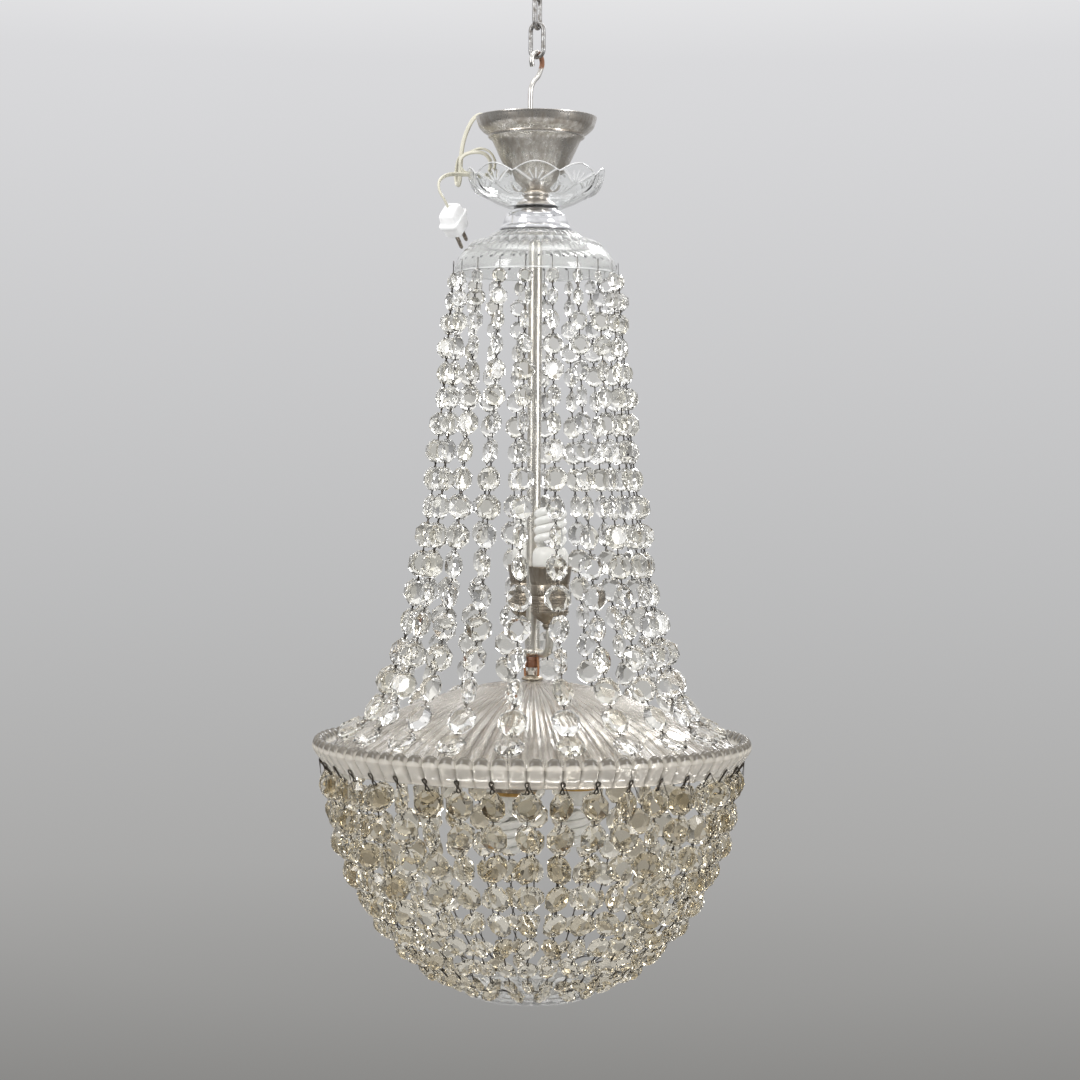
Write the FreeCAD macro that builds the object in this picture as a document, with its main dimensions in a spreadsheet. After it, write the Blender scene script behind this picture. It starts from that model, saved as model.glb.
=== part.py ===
import FreeCAD, Part
import math
import os

import Sketcher
from FreeCAD import Placement, Rotation, Vector

# Crystal basket chandelier, in millimetres, with +Z up.
# The origin is the inner top of the uppermost chain link, where the ceiling hook carries it.
# X points right and Y points away from someone who looks at its front.
# A bearing is an angle about Z that is counted from the front, and grows towards the right.

doc = FreeCAD.newDocument("CrystalChandelier")

# Driving sizes: every height is a level above or below the origin
SIZES = {
    "chain_wire": 4.5,
    "link_length": 38.0,
    "link_width": 18.0,
    "chain_bearing": -22.0,
    "swing_clearance": 0.3,
    "hook_wire": 5.0,
    "hook_drop": 71.9,
    "hook_upper_radius": 9.3,
    "hook_lower_radius": 11.0,
    "eye_radius": 9.0,
    "eye_boss_radius": 8.0,
    "eye_boss_length": 12.0,
    "eye_boss_overlap": 1.0,
    "eye_boss_roof": 4.0,
    "eye_boss_chamfer": 1.5,
    "nipple_radius": 5.0,
    "nipple_bore_radius": 3.6,
    "nipple_reach": 14.0,
    "nipple_end": 3.0,
    "thread_clearance": 0.3,
    "seat_gap": 0.25,
    "canopy_rim_radius": 60.3,
    "canopy_step_radius": 46.0,
    "canopy_neck_radius": 12.0,
    "canopy_wall": 1.3,
    "canopy_height": 74.0,
    "canopy_bottom": -222.5,
    "knob_radius": 20.0,
    "knob_height": 13.2,
    "bobeche_radius": 68.5,
    "bobeche_height": 38.5,
    "bobeche_glass": 2.8,
    "bobeche_scallop": 9.0,
    "bobeche_lobes": 9,
    "gasket_radius": 22.0,
    "gasket_thickness": 1.4,
    "collar_radius": 36.0,
    "collar_height": 20.8,
    "collar_wall": 1.4,
    "dome_radius": 81.5,
    "dome_height": 43.2,
    "dome_glass": 3.2,
    "dome_hole_height": 11.0,
    "tube_radius": 7.0,
    "tube_top": -270.0,
    "tube_bottom": -678.5,
    "upper_hub_radius": 10.5,
    "upper_hub_height": 7.0,
    "upper_lamp_radius": 30.0,
    "arm_wire": 8.0,
    "holder_height": 62.6,
    "holder_rim_radius": 21.8,
    "holder_ring_radius": 18.7,
    "holder_neck_radius": 6.0,
    "holder_bore_radius": 15.2,
    "bulb_cap_radius": 13.2,
    "bulb_base_radius": 17.6,
    "bulb_base_length": 52.0,
    "spiral_radius": 12.4,
    "spiral_tube": 8.6,
    "spiral_pitch": 11.0,
    "bush_radius": 7.0,
    "bush_rise": 8.0,
    "wire_thickness": 2.2,
    "washer_radius": 11.0,
    "washer_thickness": 4.6,
    "plate_radius": 219.5,
    "plate_top": -709.5,
    "plate_crown_radius": 200.0,
    "plate_fall": 64.0,
    "plate_glass": 5.0,
    "plate_flutes": 80,
    "flute_depth": 2.4,
    "edge_inset": 6.0,
    "edge_rise": 2.5,
    "edge_scallop": 3.2,
    "flank_height": 9.0,
    "skirt_band": 7.0,
    "skirt_radius": 205.0,
    "skirt_height": 21.0,
    "skirt_flare": 3.0,
    "skirt_hole_drop": 11.0,
    "skirt_glass": 4.0,
    "lower_hub_radius": 14.0,
    "lower_hub_height": 8.0,
    "lower_hub_top": -735.0,
    "lower_lamp_radius": 45.0,
    "lower_neck_level": -753.5,
    "nut_width": 14.0,
    "nut_height": 5.0,
    "strand_count": 20,
    "strand_bearing": -6.4,
    "strand_beads": 18,
    "strand_foot_radius": 186.0,
    "strand_foot_rise": 3.17,
    "strand_head_gap": 1.2,
    "strand_head_rise": 2.0,
    "strand_hook_reach": 9.0,
    "first_bead": 14.0,
    "last_bead": 26.5,
    "bead_thickness_share": 0.44,
    "fine_cut_from": 20.0,
    "pin_wire": 1.3,
    "basket_columns": 40,
    "basket_rows": 9,
    "basket_bead": 26.5,
    "basket_radius": 205.0,
    "basket_depth": 266.0,
    "basket_level": -769.5,
    "basket_first_drop": 42.0,
    "basket_row_pitch": 30.6,
    "basket_bearing": -1.0,
    "basket_turn": 48.0,
    "dish_radius": 70.0,
    "dish_drop": 1.6,
    "dish_hook_inset": 0.8,
    "dish_hook_rise": 2.0,
    "dish_height": 16.0,
    "dish_glass": 3.0,
    "dish_panels": 28,
    "cord_width": 4.4,
    "cord_thickness": 2.8,
    "plug_length": 28.0,
    "plug_width": 26.0,
    "plug_depth": 18.0,
    "plug_pin_radius": 2.0,
    "plug_pin_length": 19.0,
    "plug_pin_spacing": 12.0,
}
# Faces round each turned piece
SIDES = {"canopy": 30, "collar": 24, "fitting": 14, "holder": 10, "wire": 6}

sheet = doc.addObject("Spreadsheet::Sheet", "Sizes")
for row, (name, number) in enumerate(SIZES.items(), start=1):
    sheet.set(f"A{row}", name)
    sheet.set(f"B{row}", str(number))
    sheet.setAlias(f"B{row}", name)
doc.recompute()


class Sizes:
    """The driving sizes, read back from the sheet."""


size = Sizes()
for name in SIZES:
    setattr(size, name, getattr(sheet, name))

parts = []


def piece(label, solids, level=0, bearing=0):
    """One named sub-part from a solid, or from a group of like solids."""
    solids = solids if isinstance(solids, list) else [solids]
    feature = doc.addObject("Part::Feature", label)
    feature.Label = label
    feature.Shape = solids[0] if len(solids) == 1 else Part.makeCompound(solids)
    feature.Placement = Placement(Vector(0, 0, level), Rotation(Vector(0, 0, 1), bearing))
    parts.append(feature)
    return feature


# Solids of flat faces


def flat_faced(points, triangles):
    """A closed solid of flat faces, where faces in one plane are joined."""
    shell = Part.Shape()
    shell.makeShapeFromMesh((points, triangles), 0.0005)
    solid = Part.Solid(shell)
    if solid.Volume < 0:
        solid.reverse()
    return solid.removeSplitter()


def ring(radius, height, count):
    """Points evenly round Z, from the front; a radius of 0 gives the one point on the axis."""
    if radius == 0:
        return [Vector(0, 0, height)]
    return [around(radius, 360 * i / int(count), height) for i in range(int(count))]


def around(radius, bearing, height):
    """The point at a bearing, counted from the front."""
    angle = math.radians(bearing)
    return Vector(radius * math.sin(angle), -radius * math.cos(angle), height)


def skin(rings, closed=True):
    """A solid whose skin runs from ring to ring; closed joins the last ring to the first."""
    points = [point for one in rings for point in one]
    starts = [sum(len(one) for one in rings[:i]) for i in range(len(rings))]
    triangles = []
    for i in range(len(rings) if closed else len(rings) - 1):
        j = (i + 1) % len(rings)
        triangles += strip(starts[i], len(rings[i]), starts[j], len(rings[j]))
    if not closed:
        triangles += cap(starts[0], len(rings[0]), True) + cap(starts[-1], len(rings[-1]), False)
    return flat_faced(points, triangles)


def strip(first, first_count, second, second_count):
    """Triangles between two rings, which may hold different numbers of points."""
    triangles = []
    i = j = 0
    while i < first_count or j < second_count:
        a = first + i % first_count
        b = second + j % second_count
        ahead_on_first = (i + 1) / first_count if first_count > 1 else math.inf
        ahead_on_second = (j + 1) / second_count if second_count > 1 else math.inf
        if ahead_on_first == ahead_on_second == math.inf:
            break
        if ahead_on_first <= ahead_on_second:
            i += 1
            triangles.append((a, first + i % first_count, b))
        else:
            j += 1
            triangles.append((a, second + j % second_count, b))
        if (first_count == 1 and j == second_count) or (second_count == 1 and i == first_count):
            break
    return triangles


def cap(start, count, facing_back):
    """Triangles over an end ring."""
    fan = [(start, start + i + 1, start + i) for i in range(1, count - 1)]
    return fan if facing_back else [(a, c, b) for a, b, c in fan]


def turned(corners, sides, closed=True):
    """A turned piece from its outline of (radius, height) corners."""
    return skin([ring(radius, height, sides) for radius, height in corners], closed)


def drawn_wire(path, section, sideways, looped=False):
    """One section carried along straight runs that meet at mitres."""
    return skin(wire_rings(path, section, sideways, looped), looped)


def wire_rings(path, section, sideways, looped=False):
    """A wire's section at each corner of its path.

    The section is a list of (across, aside) offsets, and sideways is the direction of aside.
    """
    count = len(path)
    runs = [(path[(i + 1) % count] - path[i]).normalize() for i in range(count if looped else count - 1)]
    aside = (sideways - runs[0] * sideways.dot(runs[0])).normalize()
    across = aside.cross(runs[0])
    rim = [path[0] + across * a + aside * b for a, b in section]
    if looped:
        rim = carried(rim, path[0], runs[0], runs[0] + runs[-1])
    rings = [rim]
    for i in range(1, count):
        mitre = runs[i] + runs[i - 1] if i < len(runs) else runs[i - 1]
        rings.append(carried(rings[-1], path[i], runs[i - 1], mitre))
    return rings


def carried(points, corner, run, normal):
    """Points moved along a run until they lie in the plane through a corner."""
    return [p + run * ((corner - p).dot(normal) / run.dot(normal)) for p in points]


def round_section(thickness, sides):
    """A regular section with its corners on a round wire's skin."""
    angles = [2 * math.pi * (i + 0.5) / sides for i in range(int(sides))]
    return [(thickness / 2 * math.cos(a), thickness / 2 * math.sin(a)) for a in angles]


def arc_points(centre, radius, first, last, steps):
    """Points on an arc in the XZ plane, its angles counted from +X towards +Z."""
    angles = [math.radians(first + (last - first) * i / steps) for i in range(steps + 1)]
    return [centre + Vector(radius * math.cos(a), 0, radius * math.sin(a)) for a in angles]


# Chain, hook and eye: each bow hangs inside the bow above it, a clearance below its wire

link_run = size.link_length - size.chain_wire
link_pitch = link_run - size.chain_wire - size.swing_clearance
link_bow = (size.link_width - size.chain_wire) / 2
top_wire = size.chain_wire / 2
pivots = [top_wire - link_run - i * link_pitch for i in range(3)]
hook_top = pivots[2] + (size.chain_wire + size.hook_wire) / 2 + size.swing_clearance
hook_bottom = hook_top - size.hook_drop
eye_top = hook_bottom + size.hook_wire + size.swing_clearance
link_bearings = [size.chain_bearing, size.chain_bearing + 90, size.chain_bearing]
hook_bearing = size.chain_bearing + 78
eye_bearing = hook_bearing + 90


def chain_link():
    """One link with its top wire's centre at the origin, in the XZ plane."""
    upper = arc_points(Vector(0, 0, -link_bow), link_bow, 0, 180, 6)
    lower = arc_points(Vector(0, 0, link_bow - link_run), link_bow, 180, 360, 6)
    section = round_section(size.chain_wire, SIDES["wire"])
    return drawn_wire(upper + lower, section, Vector(0, 1, 0), looped=True)


def suspension_hook():
    """The S-shaped hook: the upper bow opens to the left and the lower bow to the right."""
    upper_centre = Vector(0, 0, -size.hook_upper_radius)
    lower_centre = Vector(0, 0, size.hook_lower_radius - size.hook_drop)
    upper = arc_points(upper_centre, size.hook_upper_radius, 214, -25, 10)
    lower = arc_points(lower_centre, size.hook_lower_radius, 155, 380, 10)
    section = round_section(size.hook_wire, SIDES["wire"])
    return drawn_wire(upper + lower, section, Vector(0, 1, 0))


def hanging_eye():
    """The ring that hangs in the hook, on its tapped boss."""
    centre = Vector(0, 0, -size.eye_radius)
    loop = arc_points(centre, size.eye_radius, 90, 450, 12)[:-1]
    section = round_section(size.hook_wire, SIDES["wire"])
    ring_solid = drawn_wire(loop, section, Vector(0, 1, 0), looped=True)
    top = -2 * size.eye_radius + size.hook_wire / 2 - size.eye_boss_overlap
    foot = top - size.eye_boss_length
    bore = size.nipple_radius + size.thread_clearance
    roof = top - size.eye_boss_roof
    chamfer = size.eye_boss_chamfer
    corners = [(0, top), (size.eye_boss_radius - chamfer, top), (size.eye_boss_radius, top - chamfer)]
    corners += [(size.eye_boss_radius, foot), (bore, foot), (bore, roof), (0, roof)]
    boss = turned(corners, SIDES["fitting"], closed=False)
    return ring_solid.fuse(boss)


piece("link_top", chain_link(), top_wire, link_bearings[0])
piece("link_middle", chain_link(), pivots[0] + size.chain_wire + size.swing_clearance, link_bearings[1])
piece("link_lower", chain_link(), pivots[1] + size.chain_wire + size.swing_clearance, link_bearings[2])
piece("suspension_hook", suspension_hook(), hook_top, hook_bearing)
piece("hanging_eye", hanging_eye(), eye_top, eye_bearing)


# Straight tubes: a pad of two circles


def tube(label, outer, inner, top, bottom):
    """A straight tube on the axis; outer, inner, top and bottom are sheet expressions."""
    body = doc.addObject("PartDesign::Body", label)
    body.Label = label
    plane = next(f for f in body.Origin.OriginFeatures if f.Role == "XY_Plane")
    sketch = body.newObject("Sketcher::SketchObject", label + "_section")
    sketch.AttachmentSupport = [(plane, "")]
    sketch.MapMode = "FlatFace"
    for number, (radius, start) in enumerate([(outer, 2.0), (inner, 1.0)]):
        circle = Part.Circle(Vector(0, 0, 0), Vector(0, 0, 1), start)
        sketch.addGeometry(circle, False)
        sketch.addConstraint(Sketcher.Constraint("Coincident", number, 3, -1, 1))
        sketch.addConstraint(Sketcher.Constraint("Radius", number, start))
        sketch.setExpression(f"Constraints[{2 * number + 1}]", radius)
    pad = body.newObject("PartDesign::Pad", label + "_length")
    pad.Profile = sketch
    pad.setExpression("Length", f"{top} - ({bottom})")
    body.setExpression("Placement.Base.z", bottom)
    parts.append(body)
    return body


eye_boss_top = eye_top - 2 * size.eye_radius + size.hook_wire / 2 - size.eye_boss_overlap
nipple_top = eye_boss_top - size.eye_boss_roof - size.seat_gap
bobeche_bottom = size.canopy_bottom - size.seat_gap - size.knob_height - size.bobeche_glass
gasket_top = bobeche_bottom - size.seat_gap
collar_top = gasket_top - size.gasket_thickness
dome_top = collar_top - size.collar_height - size.seat_gap
upper_nipple_foot = dome_top - size.dome_glass - size.nipple_reach
washer_top = size.plate_top + size.washer_thickness

sheet_rows = len(SIZES)
for name, level in [("nipple_top", nipple_top), ("upper_nipple_foot", upper_nipple_foot)]:
    sheet_rows += 1
    sheet.set(f"A{sheet_rows}", name)
    sheet.set(f"B{sheet_rows}", str(level))
    sheet.setAlias(f"B{sheet_rows}", name)
doc.recompute()

tube(
    "upper_nipple",
    "Sizes.nipple_radius",
    "Sizes.nipple_bore_radius",
    "Sizes.nipple_top",
    "Sizes.upper_nipple_foot",
)
tube(
    "central_tube",
    "Sizes.tube_radius",
    "Sizes.nipple_radius + Sizes.thread_clearance",
    "Sizes.tube_top",
    "Sizes.tube_bottom",
)
tube(
    "lower_nipple",
    "Sizes.nipple_radius",
    "Sizes.nipple_bore_radius",
    "Sizes.tube_bottom + Sizes.nipple_reach",
    "Sizes.lower_hub_top - Sizes.lower_hub_height - Sizes.nut_height - Sizes.nipple_end",
)
bore = size.nipple_radius + size.thread_clearance


# Canopy, knob, bobeche, gasket and collar


def canopy():
    """The spun bell cup, its mouth up, with a bright step below the flared rim."""
    rim = size.canopy_rim_radius
    step = size.canopy_step_radius
    neck = size.canopy_neck_radius
    wall = size.canopy_wall
    high = size.canopy_height
    outside = [(neck, 0), (0.34 * step, 0.04 * high), (0.685 * step, 0.34 * high), (step - 2, 0.7 * high)]
    outside += [(step + 1.5, 0.75 * high), (rim - 6.3, 0.82 * high), (rim, 0.965 * high), (rim, high)]
    inside = [(rim - wall, high), (rim - wall, 0.965 * high), (step - wall, 0.74 * high)]
    inside += [(0.66 * step, 0.35 * high), (0.31 * step, 0.04 * high + wall), (bore, 0.04 * high + wall)]
    return turned(outside + inside + [(bore, 0)], SIDES["canopy"])


def knob():
    """The flaring knob on which the canopy rests."""
    foot = size.knob_radius
    high = size.knob_height
    outline = [(bore, 0), (foot, 0), (foot, 0.2 * high), (0.62 * foot, 0.55 * high)]
    outline += [(0.7 * foot, 0.8 * high), (0.55 * foot, high), (bore, high)]
    return turned(outline, SIDES["fitting"])


def bobeche():
    """The cut-glass dish with its scalloped rim."""
    lobes = int(size.bobeche_lobes)
    fine = 6 * lobes
    wide = size.bobeche_radius
    high = size.bobeche_height
    glass = size.bobeche_glass

    def rim(radius, drop):
        points = ring(radius, high - drop, fine)
        lift = [abs(math.cos(math.pi * i * lobes / fine)) for i in range(fine)]
        return [p - Vector(0, 0, size.bobeche_scallop * (1 - up)) for p, up in zip(points, lift)]

    half = fine // 2
    rings = [ring(bore, 0, 16), ring(0.41 * wide, 0, half), ring(0.585 * wide, 0.13 * high, half)]
    rings += [ring(0.775 * wide, 0.32 * high, fine), ring(0.89 * wide, 0.56 * high, fine)]
    rings += [rim(wide, 0), rim(wide - glass, 0)]
    rings += [ring(0.85 * wide, 0.56 * high + 1, fine), ring(0.735 * wide, 0.32 * high + 2, half)]
    rings += [ring(0.56 * wide, 0.13 * high + glass, half), ring(0.38 * wide, glass, half)]
    return skin(rings + [ring(bore, glass, 16)])


def gasket():
    """The flat rubber ring under the bobeche."""
    outer = size.gasket_radius
    thick = size.gasket_thickness
    return turned([(bore, 0), (outer, 0), (outer, thick), (bore, thick)], SIDES["fitting"])


def stepped_collar():
    """The plated collar that covers the dome's mouth."""
    wide = size.collar_radius
    high = size.collar_height
    wall = size.collar_wall
    outside = [(wide, 0), (wide, 0.22 * high), (0.92 * wide, 0.24 * high), (0.83 * wide, 0.78 * high)]
    outside += [(0.655 * wide, high), (bore, high)]
    inside = [(bore, high - wall), (0.64 * wide, high - wall), (0.8 * wide, 0.75 * high)]
    inside += [(0.88 * wide, 0.24 * high), (wide - wall, 0)]
    return turned(outside + inside, SIDES["collar"])


piece("canopy", canopy(), size.canopy_bottom)
piece("canopy_knob", knob(), bobeche_bottom + size.bobeche_glass)
piece("glass_bobeche", bobeche(), bobeche_bottom)
piece("gasket", gasket(), gasket_top - size.gasket_thickness)
piece("stepped_collar", stepped_collar(), collar_top - size.collar_height)


# Pressed-glass dome


def top_dome():
    """The pressed-glass dome whose lower edge carries the bead strands."""
    wide = size.dome_radius
    high = size.dome_height
    glass = size.dome_glass
    count = 2 * int(size.strand_count)
    outside = [(0.44, 1.0), (0.64, 0.81), (0.86, 0.59), (0.97, 0.31), (1.0, 0.0)]
    inside = [(0.92, 0.3), (0.8, 0.56), (0.42, 1.0)]
    rings = [ring(bore, high, 16)] + [ring(r * wide, h * high, count) for r, h in outside]
    rings += [ring(wide - glass, 0, count)]
    rings += [ring(r * wide, h * high - (glass if h == 1 else 0), count // 2) for r, h in inside]
    return skin(rings + [ring(bore, high - glass, 16)])


dome_bottom = dome_top - size.dome_height
piece("top_dome", top_dome(), dome_bottom)


# Lamp clusters


def holder():
    """A lamp holder with its neck at the origin and its mouth up."""
    high = size.holder_height
    rim = size.holder_rim_radius
    band = size.holder_ring_radius
    neck = size.holder_neck_radius
    hollow = size.holder_bore_radius
    outside = [(neck, 0), (neck, 0.1 * high), (band, 0.27 * high), (band, 0.52 * high)]
    outside += [(band - 1.4, 0.54 * high), (band, 0.74 * high), (rim, 0.8 * high), (rim, high)]
    inside = [(rim - 1.3, high), (hollow, 0.72 * high), (hollow, 0.48 * high), (0, 0.48 * high)]
    return turned([(0, 0)] + outside + inside, SIDES["holder"], closed=False)


def bulb_base():
    """The screw cap and ballast housing of a compact lamp, seated in a holder."""
    low = 0.48 * size.holder_height + size.seat_gap
    high = low + size.bulb_base_length
    cap_radius = size.bulb_cap_radius
    wide = size.bulb_base_radius
    shoulder = size.holder_height - 1
    corners = [(0, low), (0.7 * cap_radius, low), (cap_radius, low + 3), (cap_radius, shoulder - 4)]
    corners += [(wide, shoulder + 3), (wide, high - 4), (0.85 * wide, high), (0, high)]
    return turned(corners, SIDES["holder"], closed=False)


def bulb_spiral():
    """The coiled glass tube above a ballast housing."""
    steps = 6
    rounds = 3.4
    low = 0.48 * size.holder_height + size.bulb_base_length + 2 * size.seat_gap
    start = low + size.spiral_tube / 2
    path = []
    for i in range(int(steps * rounds) + 1):
        turn = 360 * i / steps
        path.append(around(size.spiral_radius, turn, start + size.spiral_pitch * turn / 360))
    return drawn_wire(path, round_section(size.spiral_tube, 4), Vector(0, 0, 1))


def lamp_place(radius, bearing, level, upside_down):
    """Where a lamp's neck goes in a cluster."""
    turn = Rotation(Vector(1, 0, 0), 180 if upside_down else 0)
    return Placement(around(radius, bearing, level), Rotation(Vector(0, 0, 1), bearing) * turn)


def curved_arm(hub_radius, hub_level, lamp_radius, neck_level):
    """An arm that leaves the hub level and bends into a holder's neck, at the front."""
    rise = neck_level - hub_level
    path = [Vector(0, -hub_radius, hub_level), Vector(0, -0.68 * lamp_radius, hub_level - 0.06 * rise)]
    path += [Vector(0, -0.93 * lamp_radius, hub_level + 0.18 * rise)]
    path += [Vector(0, -lamp_radius, hub_level + 0.5 * rise), Vector(0, -lamp_radius, neck_level)]
    return drawn_wire(path, round_section(size.arm_wire, 6), Vector(1, 0, 0))


def hub(radius, high):
    """A dished hub with a bore for the nipple."""
    corners = [(bore, 0), (0.6 * radius, 0), (radius, 0.45 * high), (radius, high), (bore, high)]
    return turned(corners, SIDES["fitting"])


def turned_about(solid, bearings):
    """Copies of a solid turned about Z."""
    copies = []
    for bearing in bearings:
        copy = solid.copy()
        copy.Placement = Placement(Vector(0, 0, 0), Rotation(Vector(0, 0, 1), bearing))
        copies.append(copy)
    return copies


upper_lamps = [34.0, 188.0]
lower_lamps = [-21.0, 99.0, 219.0]
upper_neck_level = size.tube_bottom + 21
upper_places = [lamp_place(size.upper_lamp_radius, b, upper_neck_level, False) for b in upper_lamps]
lower_places = [lamp_place(size.lower_lamp_radius, b, size.lower_neck_level, True) for b in lower_lamps]
lamp_places = upper_places + lower_places


def placed(solid, places):
    """Copies of a solid at each place."""
    copies = []
    for place in places:
        copy = solid.copy()
        copy.Placement = place
        copies.append(copy)
    return copies


upper_hub_foot = size.tube_bottom - size.seat_gap - size.upper_hub_height
piece("upper_hub", hub(size.upper_hub_radius, size.upper_hub_height), upper_hub_foot)
upper_arm = curved_arm(
    size.upper_hub_radius + size.seat_gap,
    upper_hub_foot + 0.6 * size.upper_hub_height,
    size.upper_lamp_radius,
    upper_neck_level - size.seat_gap,
)
piece("upper_arms", turned_about(upper_arm, upper_lamps))
lower_hub_foot = size.lower_hub_top - size.lower_hub_height
piece("lower_hub", hub(size.lower_hub_radius, size.lower_hub_height), lower_hub_foot)
lower_arm = curved_arm(
    size.lower_hub_radius + size.seat_gap,
    lower_hub_foot + 0.6 * size.lower_hub_height,
    size.lower_lamp_radius,
    size.lower_neck_level + size.seat_gap,
)
piece("lower_arms", turned_about(lower_arm, lower_lamps))
piece("lamp_holders", placed(holder(), lamp_places))
piece("bulb_bases", placed(bulb_base(), lamp_places))
piece("bulb_spirals", placed(bulb_spiral(), lamp_places))

# Bush, wires, washer and nuts between the hub and the plate

nut_corner = size.nut_width / math.sqrt(3)
bush_top = upper_hub_foot - size.seat_gap
bush_foot = washer_top + size.bush_rise
bush_corners = [(bore, 0), (size.bush_radius, 0), (size.bush_radius, bush_top - bush_foot)]
bush_corners.append((bore, bush_top - bush_foot))
piece("insulating_bush", turned(bush_corners, SIDES["fitting"]), bush_foot)


def lamp_wire(bearing):
    """A wire that leaves the hub, bows out and goes down beside the nut to the washer."""
    beside_bush = size.bush_radius + size.wire_thickness / 2 + size.thread_clearance
    beside_nut = nut_corner + size.wire_thickness / 2 + size.thread_clearance
    levels = [(beside_bush, bush_top), (beside_bush + 1.5, bush_top - 7)]
    levels += [(beside_nut + 0.5, bush_foot - 1), (beside_nut, washer_top - size.seat_gap)]
    path = [around(radius, bearing, level) for radius, level in levels]
    return drawn_wire(path, round_section(size.wire_thickness, 6), Vector(1, 0, 0))


piece("lamp_wires", [lamp_wire(-50.0), lamp_wire(35.0)])


def washer():
    """The domed washer on the plate's crown."""
    wide = size.washer_radius
    high = size.washer_thickness - size.seat_gap
    corners = [(bore, 0), (wide, 0), (wide, 0.35 * high), (0.7 * wide, high), (bore, high)]
    return turned(corners, SIDES["fitting"])


piece("plate_washer", washer(), size.plate_top + size.seat_gap)


def crown_level(radius):
    """The plate's upper face, without its flutes, at a radius."""
    share = radius / size.plate_crown_radius
    return size.plate_top - size.plate_fall * share**1.8


def hexagon_nut():
    """A nut on the nipple."""
    hole_sides = 8
    hole_radius = bore / math.cos(math.pi / hole_sides)
    wide = [ring(nut_corner, level, 6) for level in (0, size.nut_height)]
    hole = [ring(hole_radius, level, hole_sides) for level in (size.nut_height, 0)]
    return skin(wide + hole)


nut_levels = [
    dome_top - size.dome_glass - size.seat_gap - size.nut_height,
    washer_top + size.seat_gap,
    crown_level(2 * nut_corner) - size.plate_glass - size.seat_gap - size.nut_height,
    lower_hub_foot - size.seat_gap - size.nut_height,
]
nut_places = [Placement(Vector(0, 0, level), Rotation()) for level in nut_levels]
piece("lock_nuts", placed(hexagon_nut(), nut_places))


# Ribbed glass plate


def fluted_ring(radius, level, depth, drawn_in=0.0):
    """A ring of ridges and hollows, two points for each flute."""
    points = []
    count = 2 * int(size.plate_flutes)
    for i in range(count):
        hollow = i % 2
        points.append(around(radius - drawn_in * hollow, 360 * (i + 0.5) / count, level - depth * hollow))
    return points


def ribbed_plate():
    """The domed plate with radial flutes, a scalloped rope edge and a deep skirt."""
    count = int(size.plate_flutes)
    edge = size.plate_radius
    skirt = size.skirt_radius
    crown = size.plate_crown_radius
    edge_level = crown_level(crown)
    foot = edge_level - size.skirt_height
    glass = size.plate_glass
    rings = [ring(bore, size.plate_top, 20), ring(0.14 * crown, crown_level(0.14 * crown), 40)]
    for share in (0.36, 0.97):
        radius = share * crown
        rings.append(fluted_ring(radius, crown_level(radius), size.flute_depth * min(1, 2 * share)))
    rings.append(ring(edge - size.edge_inset, edge_level + size.edge_rise, count))
    rings.append(fluted_ring(edge, edge_level, 0, size.edge_scallop))
    flare = skirt + size.skirt_flare
    band = foot + size.skirt_band
    rings += [ring(flare, edge_level - size.flank_height, count), ring(skirt, band, 40)]
    inner = skirt - size.skirt_glass
    rings += [ring(skirt, foot, 40), ring(inner, foot, 40), ring(inner - 1, edge_level - 12, 40)]
    rings += [ring(0.6 * crown, crown_level(0.6 * crown) - glass - 2, 40)]
    rings += [ring(0.2 * crown, crown_level(0.2 * crown) - glass, 40)]
    return skin(rings + [ring(bore, size.plate_top - glass, 20)])


piece("ribbed_plate", ribbed_plate())


# Cut-glass beads and their pins


def crystal(outline, corners):
    """A bead cut with a flat table on each side, its corners by turns on one table and the other.

    Its string runs along Z and its tables face Y.
    """
    thick = size.bead_thickness_share * outline
    points = []
    for i in range(2 * corners):
        angle = math.pi * i / corners
        points.append(Vector(outline / 2 * math.sin(angle), thick / 2 * (-1) ** i, outline / 2 * math.cos(angle)))
    count = 2 * corners
    triangles = []
    for i in range(count):
        nearer, further = (i, (i + 1) % count) if i % 2 == 0 else ((i + 1) % count, i)
        triangles.append((nearer, further, (i + 2) % count))
    for i in range(1, corners - 1):
        triangles += [(0, 2 * i, 2 * i + 2), (1, 2 * i + 3, 2 * i + 1)]
    return flat_faced(points, triangles)


def bead_reach(outline, corners):
    """From a bead's centre to its edge on the string."""
    return outline / 2 * math.cos(math.pi / (2 * corners)) ** 2


def pin(start, end):
    """A bent-wire pin, drawn flat to an edge at each end, the two edges a quarter turn apart."""
    run = (end - start).normalize()
    aside = run.cross(Vector(0.3, 0.2, 1)).normalize() * (size.pin_wire / 2)
    across = run.cross(aside)
    points = [start + aside, start - aside, end + across, end - across]
    return flat_faced(points, [(0, 1, 2), (1, 0, 3), (2, 3, 0), (3, 2, 1)])


def aligned(centre, along, outward, spin):
    """A placement with Z along a string and Y outward, spun about the string."""
    side = outward.cross(along).normalize()
    facing = along.cross(side)
    frame = FreeCAD.Matrix()
    for column, axis in enumerate((side, facing, along)):
        setattr(frame, f"A1{column + 1}", axis.x)
        setattr(frame, f"A2{column + 1}", axis.y)
        setattr(frame, f"A3{column + 1}", axis.z)
    return Placement(centre, Placement(frame).Rotation * Rotation(Vector(0, 0, 1), spin))


# Upper strands: each hangs in a catenary from the dome's edge to the plate


def catenary_scale(span, drop):
    """The catenary whose lowest point lies a span aside and a drop below its top."""
    low, high = span / 50, span * 5
    for _ in range(60):
        middle = (low + high) / 2
        if middle * (math.cosh(span / middle) - 1) > drop:
            low = middle
        else:
            high = middle
    return (low + high) / 2


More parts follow.
